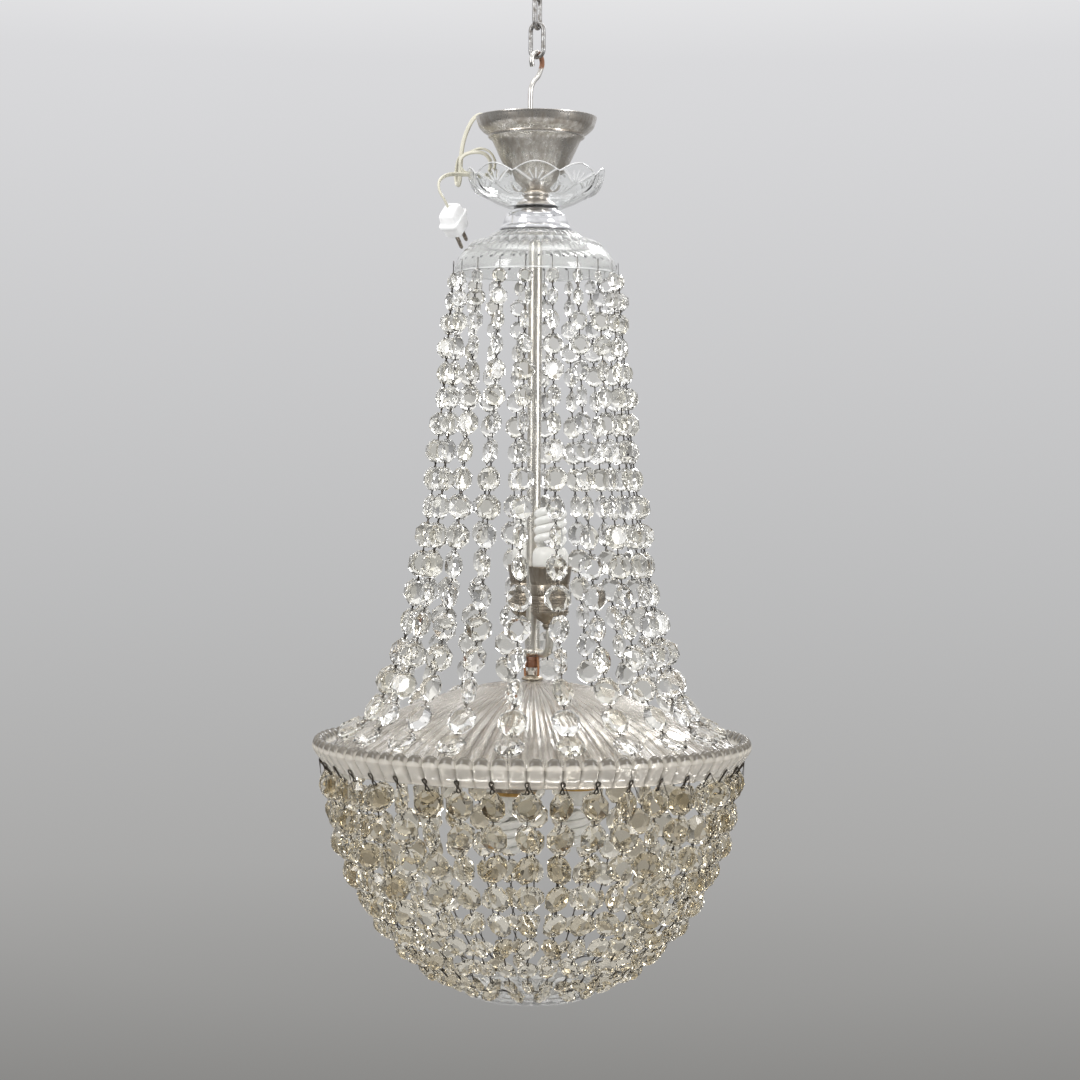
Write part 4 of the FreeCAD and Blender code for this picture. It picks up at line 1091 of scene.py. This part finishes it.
class ChandelierStem(bpy.types.Operator):
    """Turn the central tube, the hubs, the bush, the washer and the nuts"""

    bl_idname = "chandelier.stem"
    bl_label = "Stem"

    def execute(self, context):
        low, high = levels("central_tube")
        radius = size("tube_radius")
        outline = [(BORE, 0), (radius, 0), (radius, high - low), (BORE, high - low)]
        fitting("stem_tube", "central_tube", outline, "nickel", 72, bevel=0.25)
        for name in ("upper_nipple", "lower_nipple"):
            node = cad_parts[name]
            if not node.material_slots:
                node.data.materials.append(finish_of("nickel"))
            for slot in node.material_slots:
                slot.material = finish_of("nickel")
        outline = [(BORE, 0), (6.3, 0), (8.6, 1.6), (10.5, 3.4), (10.5, 6.0), (9.4, 7.0), (BORE, 7.0)]
        fitting("lamp_hub_upper", "upper_hub", outline, "nickel", bevel=0.25)
        outline = [(BORE, 0), (8.4, 0), (12.2, 1.6), (14, 3.8), (14, 7.0), (12.6, 8.0), (BORE, 8.0)]
        fitting("lamp_hub_lower", "lower_hub", outline, "nickel", bevel=0.25)
        low, high = levels("insulating_bush")
        run = high - low
        outline = [(BORE, 0), (6.8, 0), (7, 0.4), (7, run - 5.2), (6.5, run - 4.6), (7, run - 4.0), (7, run - 0.4)]
        outline += [(6.8, run), (BORE, run)]
        fitting("brown_bush", "insulating_bush", outline, "brown_insulation", bevel=0.25)
        outline = [(BORE, 0), (10.6, 0), (11, 0.5), (11, 1.5), (10.4, 2.2), (7.7, 4.2), (BORE, 4.35)]
        fitting("crown_washer", "plate_washer", outline, "bronze_washer", bevel=0.25)
        self.nuts()
        self.wires_beside()
        return {"FINISHED"}

    def nuts(self):
        """Four hexagon nuts with chamfered corners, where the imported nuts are."""
        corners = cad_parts["lock_nuts"].data.vertices
        heights = sorted({round(vert.co.z / MM, 2) for vert in corners})
        shape = turned([(BORE, 0), (7.2, 0), (8.08, 0.5), (8.08, 4.5), (7.2, 5), (BORE, 5)], 6)
        bmesh.ops.rotate(shape, verts=shape.verts, cent=(0, 0, 0), matrix=Matrix.Rotation(math.radians(30), 3, "Z"))
        places = [Matrix.Translation((0, 0, heights[i])) for i in range(0, len(heights), 2)]
        piece("nuts", gathered(shape, places), ["lock_nuts"], "nickel", bevel=0.2)

    def wires_beside(self):
        """Two insulated wires that bow out beside the bush."""
        low, high = levels("lamp_wires")
        run = high - low
        line = [(8.4, high), (9.4, high - 0.25 * run), (10.3, high - 0.6 * run), (9.8, low + 0.15 * run), (9.6, low)]
        paths = [stood(line, bearing) for bearing in (-50.0, 35.0)]
        wires("wires_beside_bush", paths, 2.2, ["lamp_wires"], "wire_copper", smooth=True)


UPPER_LAMPS = [34.0, 188.0]
LOWER_LAMPS = [-21.0, 99.0, 219.0]
UPPER_REACH = 30.0
LOWER_REACH = 45.0


def stood(line, bearing):
    """A line of (radius, level) points as points at a bearing."""
    return [around(radius, bearing, level) for radius, level in line]


def lamp_places():
    """Where each lamp's neck goes: the upper lamps' mouths are up and the lower ones' down."""
    upper = levels("upper_arms")[1] + 0.25
    lower = levels("lower_arms")[0] - 0.25
    places = []
    rings = [(UPPER_LAMPS, UPPER_REACH, upper, 0), (LOWER_LAMPS, LOWER_REACH, lower, 180)]
    for bearings, reach, level, turn in rings:
        for bearing in bearings:
            place = Matrix.Translation(around(reach, bearing, level)) @ rotation(bearing)
            places.append(place @ rotation(turn, "X"))
    return places


class ChandelierLamps(bpy.types.Operator):
    """Fit the arms, the ridged lamp holders and the coiled lamps"""

    bl_idname = "chandelier.lamps"
    bl_label = "Lamps"

    def execute(self, context):
        places = lamp_places()
        self.arms(places)
        outline = [(0, 0), (6, 0), (6.2, 2.0), (7.4, 2.6), (7.4, 4.8), (6.4, 5.4)]
        outline += eased([(7.2, 6.4), (12.0, 9.6), (16.4, 13.6), (18.2, 16.2)], 3)
        for i in range(5):
            outline += [(18.7, 17.2 + 3 * i), (18.7, 18.6 + 3 * i), (17.7, 19.1 + 3 * i), (17.7, 19.7 + 3 * i)]
        outline += [(17.4, 32.6), (17.4, 33.8), (18.9, 34.6), (19.2, 35.6), (19.0, 43.2), (18.6, 44.4)]
        outline += [(18.9, 45.4), (19.4, 46.4)]
        outline += eased([(19.5, 46.8), (20.0, 51.0), (20.9, 57.0), (21.6, 61.2)], 3)
        outline += [(21.9, 62.2), (21.6, 62.6), (20.7, 62.4), (19.0, 52.0), (15.3, 45.0), (15.3, 30.0), (0, 30.0)]
        holder = turned(outline, 72, closed=False)
        piece("ridged_holders", gathered(holder, places), ["lamp_holders"], "holder_metal", bevel=0.2)

        outline = [(0, 30.3), (9.2, 30.3), (13.0, 33), (13.0, 56), (16.6, 60), (17.6, 64)]
        outline += [(17.6, 74), (17.0, 77), (15.2, 80), (12.0, 82), (0, 82.3)]
        base = turned(outline, 56, closed=False)
        piece("lamp_bases", gathered(base, places), ["bulb_bases"], "bulb_plastic", bevel=0.5)

        ring = turned([(14.4, 59.8), (19.8, 59.8), (20.3, 60.6), (20.1, 65.4), (19.4, 66.2), (14.4, 66.2)], 56)
        piece("brass_rims", gathered(ring, places[len(UPPER_LAMPS):]), [], "brass_fitting", bevel=0.2)

        coils = [[place @ point for point in self.coil()] for place in places]
        wires("coiled_lamps", coils, 8.2, ["bulb_spirals"], "bulb_glass")
        return {"FINISHED"}

    def coil(self):
        """A lamp's glass tube: up in one coil, over the top and down in the other, half a turn apart."""
        low, rise, turns, start = 86.6, 32.0, 1.9, 4.5
        points = []
        for share in [i / 48 for i in range(49)]:
            radius = 12.4 - 2.2 * smooth_share(share, 0.86, 1.0)
            level = low - start + start * smooth_share(share, 0, 0.06) + rise * share
            points.append(around(radius, 360 * turns * share, level))
        half_turn = Matrix.Rotation(math.pi, 4, "Z")
        back = [half_turn @ point for point in points]
        top = around(4.0, 360 * turns + 20, low + rise + 1.6)
        over = [top, Vector((0, 0, low + rise + 2.2)), half_turn @ top]
        return eased(points[:-1] + over + back[-2::-1], 2)

    def arms(self, places):
        """The curved arms from each hub into the necks of its lamps."""
        for name, node, hub_node, bearings, hub, reach, place, slot in (
            ("arms_upper", "upper_arms", "upper_hub", UPPER_LAMPS, 10.7, UPPER_REACH, places[0], "nickel"),
            ("arms_lower", "lower_arms", "lower_hub", LOWER_LAMPS, 14.2, LOWER_REACH, places[-1], "brass_fitting"),
        ):
            low, high = levels(hub_node)
            start = low + 0.6 * (high - low)
            neck = place.translation.z
            rise = neck - start
            line = [(hub - 3, start), (0.45 * reach, start - 0.02 * rise), (0.68 * reach, start - 0.06 * rise)]
            line += [(0.95 * reach, start + 0.10 * rise), (1.0 * reach, start + 0.5 * rise), (reach, neck)]
            paths = [stood(line, bearing) for bearing in bearings]
            wires(name, paths, 8.0, [node], slot, smooth=True)


# Ribbed plate: its crown falls with a power of the radius

PLATE_TOP = levels("ribbed_plate")[1]
PLATE_WALL = 5.4
CROWN_RADIUS = 200.0
CROWN_DROP = 64.0
CROWN_POWER = 1.8
CROWN_STEPS = (11, 16, 22, 28, 34, 42, 52, 64, 78, 92, 106, 120, 134, 148, 162, 174, 184, 192, 198)
UNDER_STEPS = (180, 160, 140, 120, 100, 80, 60, 40, 24, 12)
FLUTE_START = 1.125


def crown_level(radius):
    """The plate's upper face, without its flutes, at a radius."""
    return PLATE_TOP - CROWN_DROP * (radius / CROWN_RADIUS) ** CROWN_POWER


class ChandelierPlate(bpy.types.Operator):
    """Press the ribbed plate with its flutes, its rope edge and its skirt"""

    bl_idname = "chandelier.plate"
    bl_label = "Ribbed plate"

    def execute(self, context):
        edge = size("plate_radius")
        flutes = number("plate_flutes")
        level = crown_level(CROWN_RADIUS)
        rope = [(203, -0.4), (206.5, 0.8), (209.0, 5.4), (212.8, 8.4), (216.6, 7.4), (218.9, 3.2), (edge, -1.2)]
        skirt = [
            (219.0, -3.0), (217.6, -5.4), (215.6, -8.4), (213.2, -11.6), (210.8, -14.6), (208.8, -17.2),
            (207.6, -19.2), (207.2, -20.4), (205.8, -21), (201.6, -21), (201.0, -20), (200.6, -14),
            (198, -9.5), (192, -5.8),
        ]
        outline = [(BORE, PLATE_TOP - 0.6), (6, PLATE_TOP)]
        outline += [(radius, crown_level(radius)) for radius in CROWN_STEPS]
        outline += eased([(radius, level + height) for radius, height in rope], 4)
        outline += [(radius, level + height) for radius, height in skirt]
        outline += [(radius, crown_level(radius) - PLATE_WALL) for radius in UNDER_STEPS] + [(BORE, PLATE_TOP - 5)]
        shape = turned(outline, 12 * flutes)
        # The plate's layer of painted shade: darker in the crown's flute grooves, on the tops of the rope's scallops
        # and at the skirt's lower flute edges.
        tone = shape.verts.layers.float.new("hollow")
        ground = shape.verts.layers.float.new("ground")
        for vert in shape.verts:
            radius = radius_of(vert.co)
            cell = ((bearing_of(vert.co) - FLUTE_START) * flutes / 360 + 0.5) % 1.0 * 2 - 1
            hollow = 1 - math.cos(math.pi / 2 * cell)
            height = vert.co.z - level
            grown = 1.0
            if radius < 203 and vert.co.z > crown_level(radius) - 1.5:
                ribbed = smooth_share(radius, 16, 40) * (1 - smooth_share(radius, 196, 203))
                vert.co.z -= 3.4 * hollow * ribbed * (0.35 + 0.65 * radius / 200)
                vert[tone] = 0.22 * ribbed * smooth_share(abs(cell), 0.55, 0.9)
            elif radius >= 203 and height > -1.3:
                bulge = 0.10 + 0.90 * math.sqrt(max(0.0, 1 - cell * cell))
                vert.co.z = level - 3 + (height + 3) * bulge
                grown = (207 + (radius - 207) * (0.55 + 0.45 * bulge)) / radius
                # Painted shade on the tops of the rope's scallops.
                vert[tone] = 0.92 * (1 - smooth_share(abs(cell), 0.66, 0.86)) * smooth_share(height, 1.6, 3.0)
                vert[ground] = 0.7
            elif radius > 204.8 and height < -2:
                deep = 1.4 + 4.0 * smooth_share(height, -20, -2)
                grown = 1 - deep * abs(cell) ** 5 / radius
                vert[tone] = 0.45 * smooth_share(abs(cell), 0.80, 0.95) * smooth_share(height, -21, -17)
                vert[ground] = 0.5
            vert.co.x *= grown
            vert.co.y *= grown
        piece("pressed_plate", shape, ["ribbed_plate"], "ribbed_glass", sharp=42)
        return {"FINISHED"}


# Beads and pins: shares of a bead's width or thickness, and millimetres

TABLE = 0.64
GIRDLE = 0.12
BORED = 2.2
PIN_LENGTH = 10


def cut_bead(outline):
    """An eight-sided bead: a thin girdle, and a flat table on each side among slanting facets."""
    shape = bmesh.new()
    wide = outline / 2 / math.cos(math.radians(22.5))
    thick = number("bead_thickness") * outline / 2
    stand = rotation(90, "X")
    for share, offset, turn in ((1, -GIRDLE, 22.5), (1, GIRDLE, 22.5), (TABLE, 1, 0), (TABLE, -1, 0)):
        place = Matrix.Translation((0, offset * thick, 0)) @ stand @ rotation(turn)
        bmesh.ops.create_circle(shape, cap_ends=False, segments=8, radius=share * wide, matrix=place)
    made = bmesh.ops.convex_hull(shape, input=shape.verts)
    spare = [item for item in made["geom_interior"] + made["geom_unused"] if isinstance(item, bmesh.types.BMVert)]
    bmesh.ops.delete(shape, geom=spare, context="VERTS")
    bmesh.ops.dissolve_limit(shape, angle_limit=math.radians(1), verts=shape.verts, edges=shape.edges)
    bmesh.ops.recalc_face_normals(shape, faces=shape.faces)
    return shape


def bent_pin():
    """A bent-wire pin, drawn in where its ends cross."""
    end = PIN_LENGTH / 2
    half = [(0, end), (0.95, 4.5), (1.25, 3.5), (1.0, 2.2), (0.35, 0.8)]
    right = half + [(x, -z) for x, z in half[::-1]][:-1]
    path = [Vector((x, 0, z)) for x, z in right + [(0, -end)]]
    path += [Vector((-point.x, 0, point.z)) for point in path[-2:0:-1]]
    wire = size("pin_wire")
    return swept(path, oval(wire, wire, 4), (0, 1, 0), closed=True)


def aligned(centre, along, outward, spin):
    """A place with Z along a string and Y outward, spun about the string."""
    side = outward.cross(along).normalized()
    facing = along.cross(side)
    place = Matrix((side, facing, along)).transposed().to_4x4()
    place.translation = centre
    return place @ rotation(spin)


def pin_place(start, end, spin, width=1.0, outward=Vector((0.31, -0.95, 0.1))):
    """A pin's place from one hole to another."""
    run = start - end
    place = aligned((start + end) / 2, run.normalized(), outward, spin)
    return place @ Matrix.Diagonal((width, width, run.length / PIN_LENGTH, 1))


def beads_piece(name, beads, node, slot, chance):
    """One piece of beads, each a (outline, place), with a tone of its own."""
    whole = bmesh.new()
    tones = []
    cut = {}
    for outline, place in beads:
        if outline not in cut:
            cut[outline] = mesh_of("bead", cut_bead(outline))
        mesh = cut[outline].copy()
        mesh.transform(place)
        whole.from_mesh(mesh)
        tones += [chance.random()] * len(mesh.vertices)
        bpy.data.meshes.remove(mesh)
    for mesh in cut.values():
        bpy.data.meshes.remove(mesh)
    item = piece(name, whole, [node], slot, flat=True)
    item.data.attributes.new("tone", "FLOAT", "POINT").data.foreach_set("value", tones)
    return item


# A strand's head lies outside the dome's edge and above its foot, its first hole higher up, and its last bead above
# the plate. Each bead is turned on from the one before.
HEAD_OUT = 1.2
HEAD_UP = 2
HOLE_UP = 11
FOOT_UP = 3.17
BEAD_TURN = 137.5
STRAND_BEADS = 18
STRAND_FOOT_RADIUS = 198.0
DOME_FOOT = levels("top_dome")[0]


def catenary_scale(span, drop):
    """The catenary whose lowest point lies a span aside and a drop below its top."""
    low, high = span / 50, span * 5
    for _ in range(60):
        middle = (low + high) / 2
        if middle * (math.cosh(span / middle) - 1) > drop:
            low = middle
        else:
            high = middle
    return (low + high) / 2


class ChandelierStrands(bpy.types.Operator):
    """String the graduated beads from the dome's edge to the plate"""

    bl_idname = "chandelier.strands"
    bl_label = "Bead strands"

    def execute(self, context):
        head = size("dome_radius") + HEAD_OUT
        foot = crown_level(STRAND_FOOT_RADIUS - size("last_bead") / 2) + FOOT_UP
        self.foot = foot
        self.scale = catenary_scale(STRAND_FOOT_RADIUS - head, DOME_FOOT + HEAD_UP - foot)
        self.run = self.scale * math.sinh((STRAND_FOOT_RADIUS - head) / self.scale)
        growth = [(i / (STRAND_BEADS - 1)) ** 0.5 for i in range(STRAND_BEADS)]
        first, last = size("first_bead"), size("last_bead")
        outlines = [first + (last - first) * share for share in growth]
        gap = (self.run - sum(outlines)) / STRAND_BEADS
        chance = random.Random(11)
        strands = []
        pins = []
        for turn in range(STRANDS):
            beads, own_pins = self.strand(turn, outlines, gap, head, chance)
            strands.append(beads)
            pins += own_pins
        pairs = STRANDS // 2
        for i in range(pairs):
            node = f"strand_pair_{i + 1:02d}"
            beads_piece(f"bead_{node}", strands[i] + strands[i + pairs], node, "clear_crystal", chance)
        piece("strand_bent_pins", gathered(bent_pin(), pins), ["strand_pins"], "pin_metal", sharp=80)
        return {"FINISHED"}

    def on_strand(self, run):
        """The radius and level at a run down the strand, and the string's slope there."""
        lean = math.asinh((self.run - run) / self.scale)
        level = self.foot + self.scale * (math.cosh(lean) - 1)
        return STRAND_FOOT_RADIUS - self.scale * lean, level, math.sinh(lean)

    def strand(self, turn, outlines, gap, head, chance):
        """One strand's beads and the places of its pins."""
        bearing = STRAND_START + 360 * turn / STRANDS
        beads = []
        pins = []
        run = gap / 2
        hole = around(head, bearing, DOME_FOOT + HOLE_UP)
        for i, outline in enumerate(outlines):
            radius, level, slope = self.on_strand(run + outline / 2)
            up = (Vector((0, 0, slope)) - around(1, bearing, 0)).normalized()
            centre = around(radius, bearing, level)
            lies_flat = i >= STRAND_BEADS - 2
            spin = 0 if lies_flat else BEAD_TURN * (turn * STRAND_BEADS + i)
            beads.append((outline, aligned(centre, up, around(1, bearing, 0), spin)))
            bored = up * (0.5 * outline - BORED)
            pins.append(pin_place(hole, centre + bored, 360 * chance.random(), 0.45 if i == 0 else 1.0))
            hole = centre - bored
            run += outline + gap
        end = STRAND_FOOT_RADIUS + 1
        pins.append(pin_place(hole, around(end, bearing, crown_level(end) + 0.6), 90, 0.5))
        return beads, pins


# The basket hangs on half an ellipsoid, which has a radius, a depth and an upper level. The first row's drop is below
# that level, and the rows' pitch is along the bowl. The first column's bearing is in degrees.
BASKET_COLUMNS = 40
BASKET_ROWS = 9
BASKET_RADIUS = 205.0
BASKET_DEPTH = 266.0
BASKET_LEVEL = -769.5
BASKET_START = -1.0
FIRST_ROW_DROP = 42.0
LAST_ROW_LIFT = 4
ROW_PITCH = 30.6
SKIRT_RADIUS = 212.4


class ChandelierBasket(bpy.types.Operator):
    """Net the basket's nine rows of beads under the plate"""

    bl_idname = "chandelier.basket"
    bl_label = "Bead basket"

    def execute(self, context):
        chance = random.Random(5)
        pins = []
        before = []
        for row, angle in enumerate(self.row_angles()):
            last = row == BASKET_ROWS - 1
            radius = BASKET_RADIUS * math.cos(angle)
            level = BASKET_LEVEL - BASKET_DEPTH * math.sin(angle)
            count = BASKET_COLUMNS // 2 if last else BASKET_COLUMNS
            outline = min(size("basket_bead"), (0.76 if last else 0.95) * 2 * math.pi * radius / count)
            if last:
                level += LAST_ROW_LIFT
            beads = []
            now = []
            for i in range(count):
                bearing = 360 * (i + 0.5 * last) / count + BASKET_START
                up = around(BASKET_RADIUS * math.sin(angle), bearing, BASKET_DEPTH * math.cos(angle)).normalized()
                centre = around(radius, bearing, level)
                spin = 48 * math.sin(2.4 * (i + 7 * row))
                beads.append((outline, aligned(centre, up, around(1, bearing, 0), spin)))
                bored = up * (0.5 * outline - BORED)
                now.append((centre + bored, centre - bored))
            beads_piece(f"bead_row_{row + 1}", beads, f"basket_row_{row + 1}", "warm_crystal", chance)
            for i in range(BASKET_COLUMNS):
                top = now[i // 2 if last else i][0]
                if row == 0:
                    pins += self.edge_pins(i, top, chance)
                else:
                    pins.append(pin_place(before[i][1], top, 360 * chance.random()))
            before = now
        for i, (_, foot) in enumerate(before):
            bearing = 360 * (i + 0.5) / len(before) + BASKET_START
            rim = around(size("dish_radius") - 0.8, bearing, levels("bottom_dish")[1] + 1)
            pins.append(pin_place(foot, rim, 90 * (i % 2)))
        piece("basket_bent_pins", gathered(bent_pin(), pins), ["basket_pins"], "pin_metal", sharp=80)
        return {"FINISHED"}

    def edge_pins(self, column, top, chance):
        """The hook in a skirt hole and the long tail of its wire, which lies over the beads."""
        bearing = 360 * column / BASKET_COLUMNS + BASKET_START
        level = crown_level(CROWN_RADIUS) - 11
        outward = around(1, bearing, 0)
        hole = around(SKIRT_RADIUS, bearing, level - 2.6)
        found = [pin_place(hole, top, 50 * chance.random() - 25, 1.5, outward)]
        long = 11 + 12 * chance.random()
        tail = around(SKIRT_RADIUS - 1.0, bearing + 1.4 + 2.6 * chance.random(), level - 4 - long)
        found.append(pin_place(around(SKIRT_RADIUS + 0.4, bearing, level - 3), tail, 0, 0.5, outward))
        return found

    def row_angles(self):
        """The rows' angles on the bowl, a pitch apart along it."""
        angle = math.asin(FIRST_ROW_DROP / BASKET_DEPTH)
        angles = [angle]
        step = 0.1
        while len(angles) < BASKET_ROWS:
            run = 0.0
            while run < ROW_PITCH:
                angle += step / math.hypot(BASKET_RADIUS * math.sin(angle), BASKET_DEPTH * math.cos(angle))
                run += step
            angles.append(angle)
        return angles


class ChandelierDish(bpy.types.Operator):
    """Press the panelled dish that closes the basket"""

    bl_idname = "chandelier.dish"
    bl_label = "Bottom dish"

    def execute(self, context):
        low = levels("bottom_dish")[0]
        wide = size("dish_radius")
        panels = 28
        outside = [(0, 0), (12, 0.0), (24, 0.4), (38, 2.2), (50, 4.4), (60, 7.0), (67, 10.6), (wide + 1.6, 14.6)]
        rim = [(wide + 2.0, 15.4), (wide + 1.4, 16.0), (wide - 0.6, 15.9)]
        inside = [(wide - 1.6, 14.8), (64, 12.0), (56, 9.6), (44, 6.6), (30, 4.4), (14, 3.2), (0, 3.0)]
        shape = turned(eased(outside, 5) + rim + eased(inside, 5), 12 * panels, closed=False)
        for vert, radius, bearing, outward in outer_verts(shape):
            cell = (bearing / (360 / panels)) % 1.0 * 2 - 1
            band = smooth_share(radius, 36, 44) * (1 - smooth_share(radius, 64, 68))
            vert.co -= outward * 1.2 * (cell * cell) ** 1.5 * band
        for vert in shape.verts:
            radius = radius_of(vert.co)
            if radius < 26 and vert.co.z < 1.5:
                rays = abs(math.sin(math.radians(bearing_of(vert.co)) * 12))
                vert.co.z += 0.8 * rays * smooth_share(radius, 4, 14)
        piece("panelled_dish", raised(shape, low), ["bottom_dish"], "pressed_glass", sharp=28)
        return {"FINISHED"}


# Panel and registration

STEPS = [
    ChandelierStage,
    ChandelierSupplyCord,
    ChandelierChain,
    ChandelierCanopy,
    ChandelierBobeche,
    ChandelierDome,
    ChandelierStem,
    ChandelierLamps,
    ChandelierPlate,
    ChandelierStrands,
    ChandelierBasket,
    ChandelierDish,
]


class ChandelierPanel(bpy.types.Panel):
    """The chandelier's pieces, sizes and colours"""

    bl_idname = "VIEW3D_PT_chandelier"
    bl_label = "Crystal Chandelier"
    bl_space_type = "VIEW_3D"
    bl_region_type = "UI"
    bl_category = "Chandelier"

    def draw(self, context):
        column = self.layout.column()
        for step in STEPS:
            column.operator(step.bl_idname)
        for group in (context.scene.chandelier_sizes, context.scene.chandelier_colours):
            for name in type(group).__annotations__:
                column.prop(group, name)


CLASSES = [ChandelierSizes, ChandelierColours, *STEPS, ChandelierPanel]


def register():
    for item in CLASSES:
        bpy.utils.register_class(item)
    bpy.types.Scene.chandelier_sizes = PointerProperty(type=ChandelierSizes)
    bpy.types.Scene.chandelier_colours = PointerProperty(type=ChandelierColours)


def unregister():
    del bpy.types.Scene.chandelier_colours
    del bpy.types.Scene.chandelier_sizes
    for item in reversed(CLASSES):
        bpy.utils.unregister_class(item)


def main():
    """Registers the add-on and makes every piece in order."""
    register()
    for step in STEPS:
        getattr(bpy.ops.chandelier, step.bl_idname.split(".")[1])()


if __name__ == "__main__":
    main()
